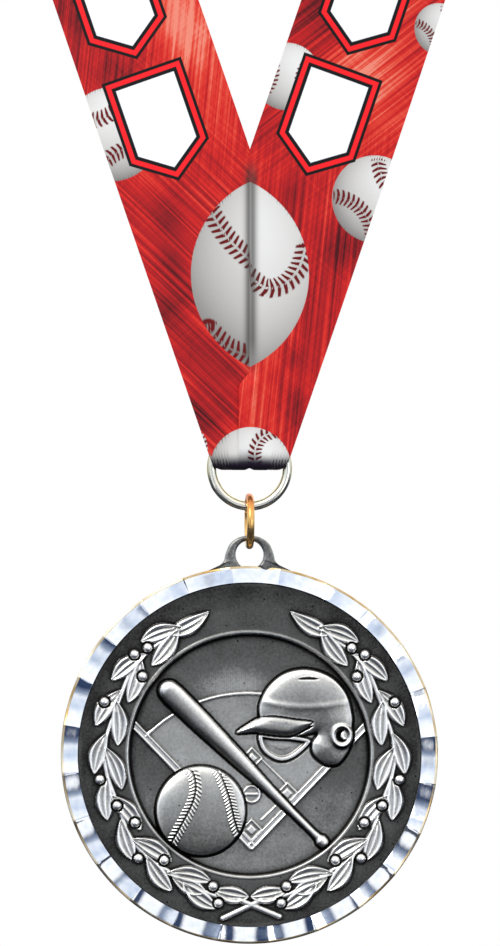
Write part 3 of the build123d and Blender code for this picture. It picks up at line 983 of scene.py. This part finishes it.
def foldPath(past, lift):
    # past the fold line: under the ring's wire and up behind it; place (y, z) by length
    half = ribbon["thickness"] / 2
    front = frontY + 0.02  # a hair behind, so the fold starts under the front
    back = ringY + wireHalf + 0.3 + half
    near = frontY + 2 * half + 0.32
    bend = ringZ + ringMiddle + 1.0
    lead = 0.6
    line = [(front, foldZ + lead), (front, foldZ), (front + 0.25, foldZ - 0.45),
            (front + 0.8, foldZ - 0.7), (back - 0.8, foldZ - 0.7), (back - 0.25, foldZ - 0.45),
            (back, foldZ + 0.1), (back, bend - 1.4), (back - 0.3, bend - 0.3),
            (near + 0.3, bend + 1.9), (near, bend + 3.2), (near, foldZ + 30)]
    line = np.array(smoothOutline(line, 5, closed=False))
    run = np.concatenate([[0], np.cumsum(np.hypot(*np.diff(line, axis=0).T))])
    at = np.clip(past + lead, 0, None)
    step = 0.05
    y, z = np.interp(at, run, line[:, 0]), np.interp(at, run, line[:, 1])
    dy = np.interp(at + step, run, line[:, 0]) - np.interp(at - step, run, line[:, 0])
    dz = np.interp(at + step, run, line[:, 1]) - np.interp(at - step, run, line[:, 1])
    size = np.maximum(np.hypot(dy, dz), 1e-9)
    return y + lift * dz / size, z - lift * dy / size


def ribbonPoint(side, spread, slant, lift):
    # one side's point, in millimetres from the nape, with the fold through the ring worked in
    flat = conePlace(side * spread, slant, 0 * slant) - napePoint
    lifted = conePlace(side * spread, slant, lift) - napePoint
    past = foldZ - flat[..., 2]
    x = flat[..., 0]
    sag = flat[..., 1] - frontY
    y, z = foldPath(past, lift)
    # the cloth gathers in where it passes between the ring's two sides
    depth = y - ringY
    reach = ringMiddle - np.sqrt(np.clip((wireHalf + 0.45) ** 2 - depth**2, 0, None))
    inRing = smoothStep(-0.5, 0.6, past) * (1 - smoothStep(ringMiddle, ringMiddle + 3.0, z - ringZ))
    squeeze = 1 - inRing * (1 - np.minimum(1, reach / ribbon["halfFoot"]))
    folded = np.stack([x * squeeze, y + sag * (past < 2), z], axis=-1)
    share = smoothStep(-0.6, 0.0, past)[..., None]
    return lifted * (1 - share) + folded * share


# printed shapes, balls and shading, worked out in the flat, in millimetres from the V's notch

plates = {"first": 8.25, "pitch": 20.7, "across": 11.15, "aside": -1.25, "length": 18.9, "width": 13.6,
          "last": 330.0}
printedBalls = [
    # leg, place up the leg, place across it, radius, turn of its seams
    (-1, 9.5, 20.1, 7.6, 95.0), (-1, 52.0, 2.0, 6.0, 40.0), (-1, 79.0, 20.0, 7.0, 120.0),
    (1, 13.0, 1.8, 5.45, 10.0), (1, 28.9, 22.8, 4.2, 50.0), (1, -0.85, 21.7, 7.06, 60.0),
    (1, 56.0, 20.5, 6.6, 75.0), (1, 84.0, 1.5, 6.2, 20.0),
]
crossBalls = [
    # leg or both, x, z, radius; these are cut by the crease or by the lower edge
    (-1, 6.94, -20.14, 16.4), (1, -6.94, -20.14, 16.4), (0, 0.1, -51.2, 6.5), (-1, -10.9, -48.2, 4.2),
]
seamRuns = [
    # leg or both, half length of a stitch, places along the seam
    (-1, 1.75, [(-7.0, -7.9), (-6.1, -10.4), (-3.6, -14.3), (-0.6, -17.3), (1.4, -18.6)]),
    (1, 1.7, [(-1.6, -19.0), (0.9, -21.3), (3.0, -22.4), (5.7, -21.6), (7.9, -19.0), (9.0, -15.4)]),
    (-1, 1.9, [(-6.6, -29.0), (-3.6, -31.9), (0.2, -33.3), (2.0, -33.5)]),
    (0, 1.2, [(6.2, -45.0), (4.2, -45.3), (1.9, -46.3), (0.8, -48.3), (0.9, -51.0), (1.2, -53.0)]),
    (-1, 1.0, [(-9.3, -43.8), (-8.2, -45.6), (-7.5, -47.6), (-7.2, -50.0)]),
]
printTones = [
    # leg, place up, place across, reach up, reach across, lighter or darker
    (-1, 22.0, 3.0, 10.0, 5.5, 0.52), (-1, 7.0, 2.0, 7.0, 4.0, 0.10), (-1, 18.6, 15.5, 3.2, 6.0, -0.24),
    (-1, -6.0, 16.0, 4.2, 3.0, -0.24), (-1, -14.0, 17.6, 3.2, 2.6, -0.24), (-1, -19.5, 20.6, 3.0, 4.0, -0.26),
    (-1, -30.0, 17.0, 9.0, 5.0, -0.12), (-1, 34.0, 18.0, 9.0, 6.0, -0.35),
    (1, 16.0, 14.0, 8.0, 6.0, 0.48), (1, 31.5, 12.5, 5.0, 4.0, 0.38), (1, 27.5, 2.5, 7.0, 4.5, -0.42),
    (1, 4.6, 0.6, 3.4, 3.0, -0.10), (1, -5.0, 9.0, 4.4, 2.6, -0.2), (1, -9.5, 19.5, 4.4, 3.6, -0.3),
    (1, -18.5, 17.0, 6.0, 3.0, -0.16), (1, -29.0, 13.6, 8.0, 4.4, 0.10), (1, -40.5, 9.5, 4.0, 3.0, -0.18),
]
creaseTones = [
    # leg, x, z, reach across, reach up: shading near the crease and the fold
    (-1, -6.6, -43.2, 4.2, 3.2, -0.27), (-1, -9.5, -41.0, 2.4, 2.6, -0.2), (1, -0.2, -40.0, 1.7, 7.0, 0.27),
    (1, 3.4, -41.5, 1.6, 5.0, 0.10), (1, 7.0, -42.0, 1.6, 3.4, -0.22), (1, 6.8, -33.5, 1.5, 2.2, -0.32),
]


# millimetres across the crease, then up from the V's notch: from nothing to full shading
shading = {"creaseHalf": 0.75, "creaseTop": (-1, -5), "creaseFoot": (-38, -30), "hemFrom": (-48.6, -50.4),
           "hemTo": (-51.6, -53.4)}


def printFields(leg, up, across):
    # everything the print's colours need, at each point of one leg
    lean = math.radians(ribbon["legAngle"])
    x = leg * (math.sin(lean) * up + math.cos(lean) * across)
    z = math.cos(lean) * up - math.sin(lean) * across
    ball = np.full(up.shape, -9.0)
    shade = np.zeros(up.shape)
    seam = np.full(up.shape, 9.0)
    stitch = np.zeros(up.shape)

    def addBall(inside, lx, lz, radius):
        nonlocal ball, shade
        closer = inside > ball
        ball = np.where(closer, inside, ball)
        light = 0.88 + 0.22 * (lz / radius) + 0.12 * (lx / radius)
        light = light - 0.25 * (np.hypot(lx, lz) / radius) ** 3
        shade = np.where(closer & (inside > -0.5), light, shade)

    def addSeam(away, place, half):
        nonlocal seam, stitch
        ratio = np.abs(away) / half
        closer = ratio < seam
        seam = np.where(closer, ratio, seam)
        stitch = np.where(closer, place, stitch)

    for side, s, t, radius, turn in printedBalls:
        if side != leg:
            continue
        lx, lz = (across - t) * leg, up - s
        inside = radius - np.hypot(lx, lz)
        addBall(inside, lx, lz, radius)
        a = math.radians(turn)
        rx, rz = lx * math.cos(a) + lz * math.sin(a), -lx * math.sin(a) + lz * math.cos(a)
        for way in (-1, 1):
            cx = rx - way * 1.32 * radius
            away = np.hypot(cx, rz) - 0.92 * radius
            place = np.arctan2(rz, -way * cx) * 0.92 * radius * way
            hidden = inside < 0.1
            addSeam(np.where(hidden, 9.0, away), place / (0.085 * radius + 0.2), 0.19 * radius)
    for side, cx, cz, radius in crossBalls:
        if side in (0, leg):
            addBall(radius - np.hypot(x - cx, z - cz), x - cx, z - cz, radius)
    for side, half, path in seamRuns:
        if side not in (0, leg):
            continue
        best, place, _ = alongPath(x, z, path)
        addSeam(best, place / (0.42 * half + 0.3), half)
    tone = np.zeros(up.shape)
    for side, s, t, reachS, reachT, amount in printTones:
        if side == leg:
            tone = tone + amount * np.exp(-(((up - s) / reachS) ** 2) - ((across - t) / reachT) ** 2)
    for side, cx, cz, reachX, reachZ, amount in creaseTones:
        if side == leg:
            tone = tone + amount * np.exp(-(((x - cx) / reachX) ** 2) - ((z - cz) / reachZ) ** 2)
    far = smoothStep(35, 60, up)
    tone = tone + far * 0.22 * np.sin(up * 0.19 + across * 0.21 + leg)
    # shadow in the sewn crease and along the lower edge
    crease = np.exp(-(((x + 0.1 - 0.5 * (leg > 0)) / shading["creaseHalf"]) ** 2))
    crease = crease * smoothStep(*shading["creaseTop"], z) * smoothStep(*shading["creaseFoot"], z)
    lower = smoothStep(*shading["hemFrom"], z + 0.05 * np.abs(x)) * (1 - smoothStep(*shading["hemTo"], z))
    # round the neck the pattern runs straight along the ribbon
    taper = 1 - smoothStep(120, 330, up)
    flatX = x * (0.02 + 0.98 * taper)
    return {"up": up, "across": across, "ball": ball, "shade": shade, "seam": seam, "stitch": stitch,
            "tone": tone, "crease": crease, "lower": lower}, flatX, z


# printed satin: close polyester satin with the picture dyed in, so the colour is soft-edged and
# flat and the weave gives a low sheen with fine ribs across
def satinPrinted():
    material, tree, shader = newMaterial("polyesterSatinPrinted")
    fields = ("up", "across", "ball", "shade", "seam", "stitch", "tone", "crease", "lower", "side")
    known = {}
    for name in fields:
        known[name] = addNode(tree, "ShaderNodeAttribute", attribute_name=name).outputs["Fac"]
    flat = addNode(tree, "ShaderNodeAttribute", attribute_name="flat").outputs["Vector"]
    split = addNode(tree, "ShaderNodeSeparateXYZ", {0: flat})
    known["x"], known["z"] = split.outputs["X"], split.outputs["Y"]
    # brushed streaks 0.6 mm wide and 60 mm long in three directions, each a noise drawn out along
    # its own line
    streaks = {"steep": (84.0, 1.7, 0.018), "rising": (38.0, 1.5, 0.016), "falling": (-44.0, 1.6, 0.016)}
    for name, (angle, fine, drawnOut) in streaks.items():
        c, s = math.cos(math.radians(angle)), math.sin(math.radians(angle))
        place = workOut(tree, dict(known), [
            f"a MULTIPLY x {c * drawnOut:.5f}", f"b MULTIPLY z {s * drawnOut:.5f}", "u ADD a b",
            f"c MULTIPLY x {-s * fine:.5f}", f"d MULTIPLY z {c * fine:.5f}", "v ADD c d"])
        along = addNode(tree, "ShaderNodeCombineXYZ", {0: place["u"], 1: place["v"], 2: angle})
        noise = addNode(tree, "ShaderNodeTexNoise", {"Vector": along.outputs[0], "Scale": 1.0,
                                                     "Detail": 3.0, "Roughness": 0.65})
        known[name] = noise.outputs["Fac"]
    patches = addNode(tree, "ShaderNodeTexNoise", {"Vector": flat, "Scale": 0.13, "Detail": 1.0})
    known["patch"] = patches.outputs["Fac"]
    known = workOut(tree, known, [
        # the right leg runs to rising streaks above and the left to steep ones; below they cross
        "above MULTIPLY_ADD z 0.08 0.6",
        "above2 MINIMUM above 1.0", "above3 MAXIMUM above2 0.0",
        "rightness MULTIPLY_ADD side 0.5 0.5",
        "p1 SUBTRACT patch 0.5", "p2 MULTIPLY p1 0.6",
        "pickRising MULTIPLY rightness above3", "below SUBTRACT 1.0 above3",
        "leftness SUBTRACT 1.0 rightness", "pickFalling MULTIPLY leftness below",
        "m1 ADD pickRising p2", "m2 MINIMUM m1 1.0", "m3 MAXIMUM m2 0.0",
        "n1 ADD pickFalling p2", "n2 MINIMUM n1 1.0", "n3 MAXIMUM n2 0.0",
        "keepSteep SUBTRACT 1.0 m3", "mixA MULTIPLY steep keepSteep", "mixB MULTIPLY rising m3",
        "mixAB ADD mixA mixB", "keepAB SUBTRACT 1.0 n3", "mixC MULTIPLY mixAB keepAB",
        "mixD MULTIPLY falling n3", "streak ADD mixC mixD",
        # the crossing direction shows faintly through, like tartan
        "cross ADD rising falling", "cross2 MULTIPLY_ADD cross 0.22 -0.22",
        "s1 SUBTRACT streak 0.5", "s2 MULTIPLY s1 1.5", "t1 ADD s2 cross2",
        "t0 MULTIPLY_ADD p1 0.3 0.47", "t2 MULTIPLY_ADD tone 0.95 t0",
        "field ADD t1 t2"])
    ground = colourRamp(tree, known["field"], [
        (0.0, "#4a0c12"), (0.2, "#86151b"), (0.4, "#b41a1e"), (0.56, "#d52420"), (0.76, "#e64c38"),
        (0.98, "#f08a74")])
    known = workOut(tree, known, [
        "ballIn MULTIPLY_ADD ball 9.0 0.5", "ballMask MINIMUM ballIn 1.0",
        "span ABSOLUTE seam", "slant MULTIPLY span 0.55", "phase ADD stitch slant",
        "wave FRACT phase", "w1 SUBTRACT wave 0.5", "w2 ABSOLUTE w1", "thick MULTIPLY_ADD span -0.14 0.37",
        "w3 SUBTRACT thick w2", "w4 MULTIPLY w3 9.0", "w5 MINIMUM w4 1.0", "w6 MAXIMUM w5 0.0",
        "endA SUBTRACT 1.0 span", "endB MULTIPLY endA 6.0", "endC MINIMUM endB 1.0", "endD MAXIMUM endC 0.0",
        "midA SUBTRACT span 0.08", "midB MULTIPLY midA 14.0", "midC MINIMUM midB 1.0",
        "midD MAXIMUM midC 0.0",
        "th1 MULTIPLY w6 endD", "thread MULTIPLY th1 midD",
        "shadeA MULTIPLY span span", "shadeB MINIMUM shadeA 1.0", "puff MULTIPLY_ADD shadeB 0.12 0.88",
        "light MULTIPLY shade puff"])
    leather = colourRamp(tree, known["light"], [(0.2, "#5b5854"), (0.5, "#9c9994"), (0.78, "#cfccc6"),
                                                (1.0, "#f1efeb")])
    stitched = addNode(tree, "ShaderNodeMix", {"Factor": known["thread"], 6: leather,
                                               7: hexToLinear("#6a0b0f")}, data_type="RGBA")
    ballMask = workOut(tree, known, ["ballOn MAXIMUM ballMask 0.0"])["ballOn"]
    withBalls = addNode(tree, "ShaderNodeMix", {"Factor": ballMask, 6: ground, 7: stitched.outputs[2]},
                        data_type="RGBA")
    # a home plate's outline: the distance inside it is the least of its three kinds of side
    halfLong, slope = plates["length"] / 2, 0.72
    known = workOut(tree, known, [
        f"pa MULTIPLY_ADD side {plates['aside']} {plates['across']}", "pb SUBTRACT across pa",
        "pc ABSOLUTE pb",
        f"pd SUBTRACT up {plates['first'] - plates['pitch'] / 2}", f"pe DIVIDE pd {plates['pitch']}",
        "pf FRACT pe", "pg SUBTRACT pf 0.5", f"ph MULTIPLY pg {plates['pitch']}",
        f"sideIn SUBTRACT {plates['width'] / 2} pc", f"topIn SUBTRACT {halfLong} ph",
        f"pi ADD ph {halfLong}", f"pj MULTIPLY pc {slope}", "pk SUBTRACT pi pj", "pointIn MULTIPLY pk 0.81",
        "pl MINIMUM sideIn topIn", "pm MINIMUM pl pointIn",
        f"pn SUBTRACT {plates['last']} up", "po MINIMUM pm pn", "pp ADD up 2.5", "plate MINIMUM po pp"])
    plateColour = colourRamp(tree, workOut(tree, known, ["plateAt MULTIPLY plate 0.2"])["plateAt"], [
        (0.0, "#0b0f10"), (0.1, "#0b0f10"), (0.118, "#ff2027"), (0.25, "#ff2027"), (0.268, "#0b0f10"),
        (0.37, "#0b0f10"), (0.39, "#ffffff")])
    plateOn = workOut(tree, known, ["pl1 MULTIPLY plate 12.0", "pl2 MINIMUM pl1 1.0",
                                    "plateOn MAXIMUM pl2 0.0"])["plateOn"]
    withPlates = addNode(tree, "ShaderNodeMix", {"Factor": plateOn, 6: withBalls.outputs[2], 7: plateColour},
                         data_type="RGBA")
    # painted shadow: the sewn crease is darkened to grey-brown and the cloth along the lower fold to dark
    # navy
    creased = workOut(tree, known, ["crease2 MULTIPLY crease 0.78"])["crease2"]
    withCrease = addNode(tree, "ShaderNodeMix", {"Factor": creased, 6: withPlates.outputs[2],
                                                 7: hexToLinear("#393532")}, data_type="RGBA")
    final = addNode(tree, "ShaderNodeMix", {"Factor": known["lower"], 6: withCrease.outputs[2],
                                            7: hexToLinear("#1d1626")}, data_type="RGBA")
    tree.links.new(final.outputs[2], shader.inputs["Base Color"])
    # satin ribs 0.3 mm apart, coarser than the real yarn so that they show
    ribs = addNode(tree, "ShaderNodeTexWave", {"Vector": flat, "Scale": 1.05, "Distortion": 0.6,
                                               "Detail": 1.0}, bands_direction="Y")
    fibre = addNode(tree, "ShaderNodeTexNoise", {"Vector": flat, "Scale": 9.0, "Detail": 2.0})
    weave = workOut(tree, {"r": ribs.outputs["Fac"], "f": fibre.outputs["Fac"]},
                    ["a MULTIPLY f 0.6", "weave ADD r a"])["weave"]
    bump = addNode(tree, "ShaderNodeBump", {"Height": weave, "Strength": 0.12, "Distance": 0.06 * mm})
    tree.links.new(bump.outputs[0], shader.inputs["Normal"])
    rough = addNode(tree, "ShaderNodeMapRange", {"Value": fibre.outputs["Fac"], "To Min": 0.5,
                                                 "To Max": 0.66})
    tree.links.new(rough.outputs[0], shader.inputs["Roughness"])
    shader.inputs["Specular IOR Level"].default_value = 0.16
    shader.inputs["Sheen Weight"].default_value = 0.03
    shader.inputs["Sheen Roughness"].default_value = 0.4
    return material


# the satin's back: undyed white yarn with the picture showing through only as a pink cast
def satinBack():
    material, tree, shader = newMaterial("polyesterSatinBack")
    flat = addNode(tree, "ShaderNodeAttribute", attribute_name="flat").outputs["Vector"]
    cast = addNode(tree, "ShaderNodeTexNoise", {"Vector": flat, "Scale": 0.16, "Detail": 5.0})
    colour = colourRamp(tree, cast.outputs["Fac"], [(0.3, "#e0bdb7"), (0.55, "#e6cec9"), (0.75, "#ece0dc")])
    tree.links.new(colour, shader.inputs["Base Color"])
    ribs = addNode(tree, "ShaderNodeTexWave", {"Vector": flat, "Scale": 1.05, "Distortion": 0.6,
                                               "Detail": 1.0}, bands_direction="Y")
    bump = addNode(tree, "ShaderNodeBump", {"Height": ribs.outputs["Fac"], "Strength": 0.18,
                                            "Distance": 0.06 * mm})
    tree.links.new(bump.outputs[0], shader.inputs["Normal"])
    fuzz = addNode(tree, "ShaderNodeMapRange", {"Value": cast.outputs["Fac"], "To Min": 0.6, "To Max": 0.75})
    tree.links.new(fuzz.outputs[0], shader.inputs["Roughness"])
    shader.inputs["Sheen Weight"].default_value = 0.1
    return material


def ribbonColumns():
    # flattened angles from the nape to the crease, closest together near the front
    near = np.radians(np.arange(0, 60, 1.0))
    legs = np.radians(np.arange(60, 70.5, 0.07))
    crease = np.radians(np.linspace(70.5, 71.0, 22))
    return np.concatenate([near, legs, crease])


def ribbonSide(side):
    # grid of one side from the nape's middle to the crease: points, then the print's fields
    rows = np.linspace(-halfWidth, halfWidth, 180)
    spread, across = np.meshgrid(ribbonColumns(), rows, indexing="ij")
    slant = (napeSlant + across) / np.cos(spread)
    lapStart, lapFull = -ribbon["overlapFrom"], -ribbon["overlapFrom"] - ribbon["lapTaper"]

    def belowNotch(spread, slant):
        return conePlace(spread, slant)[..., 2] - napePoint[2] - notchZ

    if side > 0:  # the wearer's left side laps over the other near the fold
        lap = ribbon["overlap"] * smoothStep(lapStart, lapFull, belowNotch(spread, slant)) + 0.05
        extra = np.linspace(0, 1, 7)[1:]
        spread = np.concatenate([spread] + [(halfSpread + e * lap[-1] / slant[-1])[None] for e in extra])
        across = np.concatenate([across] + [across[-1:]] * 6)
        slant = np.concatenate([slant] + [slant[-1:]] * 6)
    across = slant * np.cos(spread) - napeSlant
    up = notchPlace - slant * np.sin(spread)
    z = belowNotch(np.minimum(spread, halfSpread), slant)
    beside = (halfSpread - spread) * slant
    lapped = smoothStep(lapStart, lapFull, z)
    lapped = lapped * (1 - smoothStep(-ribbon["foldDrop"] + 2.2, -ribbon["foldDrop"] + 0.2, z))
    lifted = ribbon["lapRise"] * lapped * (1 - smoothStep(0.2, 2.4, beside)) if side > 0 else 0 * beside
    groove = ribbon["groove"] * np.exp(-((beside / 0.55) ** 2)) * (1 - lapped)
    half = ribbon["thickness"] / 2
    outer = ribbonPoint(side, spread, slant, half - groove + lifted)
    inner = ribbonPoint(side, spread, slant, -half + lifted * 0.96)
    return (outer, inner) + printFields(side, up, across + halfWidth)


def buildRibbon(printed, back):
    points, faces, slots, flats, sides = [], [], [], [], []
    values = {}
    offset = 0
    for side in (-1, 1):
        outer, inner, fields, flatX, flatZ = ribbonSide(side)
        n, m = flatX.shape
        # the end of the tip behind the ring is cut off
        quads = gridQuads(np.arange(n * m).reshape(n, m), -ribbon["foldDrop"] - flatZ < ribbon["flap"])
        if side > 0:
            quads = quads[:, ::-1]
        top = quads + offset
        bottom = quads[:, ::-1] + offset + n * m
        border = openEdges(quads)
        border = border[~(border < m).all(axis=1)]  # no wall at the nape, where the two sides meet
        start, end = border[:, 0] + offset, border[:, 1] + offset
        wall = np.stack([end, start, start + n * m, end + n * m], axis=1)
        faces += [top, bottom, wall]
        slots += [np.zeros(len(top)), np.ones(len(bottom)), np.zeros(len(wall))]
        points += [outer.reshape(-1, 3), inner.reshape(-1, 3)]
        flat = np.stack([flatX.ravel(), flatZ.ravel(), np.zeros(n * m)], axis=1)
        flats.append(np.tile(flat, (2, 1)))
        sides.append(np.full(2 * n * m, float(side)))
        for name, value in fields.items():
            values.setdefault(name, []).append(np.tile(value.ravel(), 2))
        offset += 2 * n * m
    points = np.concatenate(points) * mm
    faces = np.concatenate(faces)
    mesh = bpy.data.meshes.new("neck_ribbon")
    mesh.vertices.add(len(points))
    mesh.vertices.foreach_set("co", points.astype(np.float32).ravel())
    mesh.loops.add(faces.size)
    mesh.loops.foreach_set("vertex_index", faces.astype(np.int32).ravel())
    mesh.polygons.add(len(faces))
    mesh.polygons.foreach_set("loop_start", np.arange(0, faces.size, 4, dtype=np.int32))
    mesh.materials.append(printed)
    mesh.materials.append(back)
    mesh.polygons.foreach_set("material_index", np.concatenate(slots).astype(np.int32))
    mesh.update(calc_edges=True)
    mesh.shade_smooth()
    for name, value in values.items():
        setField(mesh, name, np.concatenate(value))
    setField(mesh, "side", np.concatenate(sides))
    setField(mesh, "flat", np.concatenate(flats), "FLOAT_VECTOR", "vector")
    piece = bpy.data.objects.new("neck_ribbon", mesh)
    bpy.context.collection.objects.link(piece)
    bpy.context.view_layer.objects.active = piece
    cleaner = piece.modifiers.new("join", "WELD")
    cleaner.merge_threshold = 0.0004 * mm
    depsgraph = bpy.context.evaluated_depsgraph_get()
    joined = bpy.data.meshes.new_from_object(piece.evaluated_get(depsgraph))
    piece.modifiers.remove(cleaner)
    piece.data = joined
    sharpen(piece, 55)
    return piece


satinFront = satinPrinted()
satinReverse = satinBack()
neckRibbon = finishPiece(buildRibbon(satinFront, satinReverse), "ribbon")
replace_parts(neckRibbon, "ribbon_left_front", "ribbon_right_front", "ribbon_left_shoulder",
            "ribbon_right_shoulder", "ribbon_nape", "ribbon_ring_fold")
print("ribbon made")

# thread: short stitches that dip into the cloth at both ends

thread = {"size": 0.3, "stitch": 2.4, "seamPitch": 3.0, "seamCount": 11, "tackCount": 9, "sag": 0.16,
          "rings": 11, "across": 12, "lean": 0.06}


# spun polyester sewing thread: two plies twisted together, dyed red, with a soft low gloss
def polyesterThread():
    material, tree, shader = newMaterial("polyesterThreadTwisted")
    place = addNode(tree, "ShaderNodeTexCoord").outputs["Object"]
    # plies 0.4 mm apart, coarser than real thread's so that they show
    plies = addNode(tree, "ShaderNodeTexWave", {"Vector": place, "Scale": 900.0, "Distortion": 1.0},
                    bands_direction="DIAGONAL")
    colour = colourRamp(tree, plies.outputs["Fac"], [(0.1, "#7e1519"), (0.6, "#b3262b"), (0.95, "#cf4a48")])
    tree.links.new(colour, shader.inputs["Base Color"])
    bump = addNode(tree, "ShaderNodeBump", {"Height": plies.outputs["Fac"], "Strength": 0.4,
                                            "Distance": 0.05 * mm})
    tree.links.new(bump.outputs[0], shader.inputs["Normal"])
    rough = addNode(tree, "ShaderNodeMapRange", {"Value": plies.outputs["Fac"], "To Min": 0.55,
                                                 "To Max": 0.7})
    tree.links.new(rough.outputs[0], shader.inputs["Roughness"])
    return material


def stitches(name, node, centres, material):
    low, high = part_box(node)
    y = (low.y + high.y) / 2
    across, rings = thread["across"], thread["rings"]
    around = np.arange(across) * 2 * math.pi / across
    points, faces = [], []
    for x, z in centres:
        lean = rng.uniform(-thread["lean"], thread["lean"])
        for u in np.linspace(-1, 1, rings):
            radius = thread["size"] / 2 * mm * (1 - 0.55 * abs(u) ** 6)
            mx, my = x + lean * u * mm, y - thread["sag"] * mm * abs(u) ** 4
            mz = z + u * thread["stitch"] / 2 * mm
            points += [(mx + radius * math.cos(a), my + radius * math.sin(a), mz) for a in around]
        start = len(points) - rings * across
        faces += [tuple(start + i for i in face) for face in ringFaces(rings, across)]
        faces.append(tuple(start + i for i in reversed(range(across))))
        faces.append(tuple(start + (rings - 1) * across + i for i in range(across)))
    piece = newPiece(name, points, faces, material)
    sharpen(piece, 60)
    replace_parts(finishPiece(piece, "ribbon"), node)


threadRed = polyesterThread()
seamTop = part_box("centre_seam_thread")[1].z - thread["stitch"] / 2 * mm
stitches("centre_seam_stitches", "centre_seam_thread",
         [(0.0, seamTop - i * thread["seamPitch"] * mm) for i in range(thread["seamCount"])], threadRed)
tackLow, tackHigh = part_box("ring_loop_thread")
tackFrom, tackTo = tackLow.x + thread["size"] / 2 * mm, tackHigh.x - thread["size"] / 2 * mm
stitches("ring_loop_stitches", "ring_loop_thread",
         [(tackFrom + (tackTo - tackFrom) * i / (thread["tackCount"] - 1), (tackLow.z + tackHigh.z) / 2)
          for i in range(thread["tackCount"])], threadRed)
print("thread made")
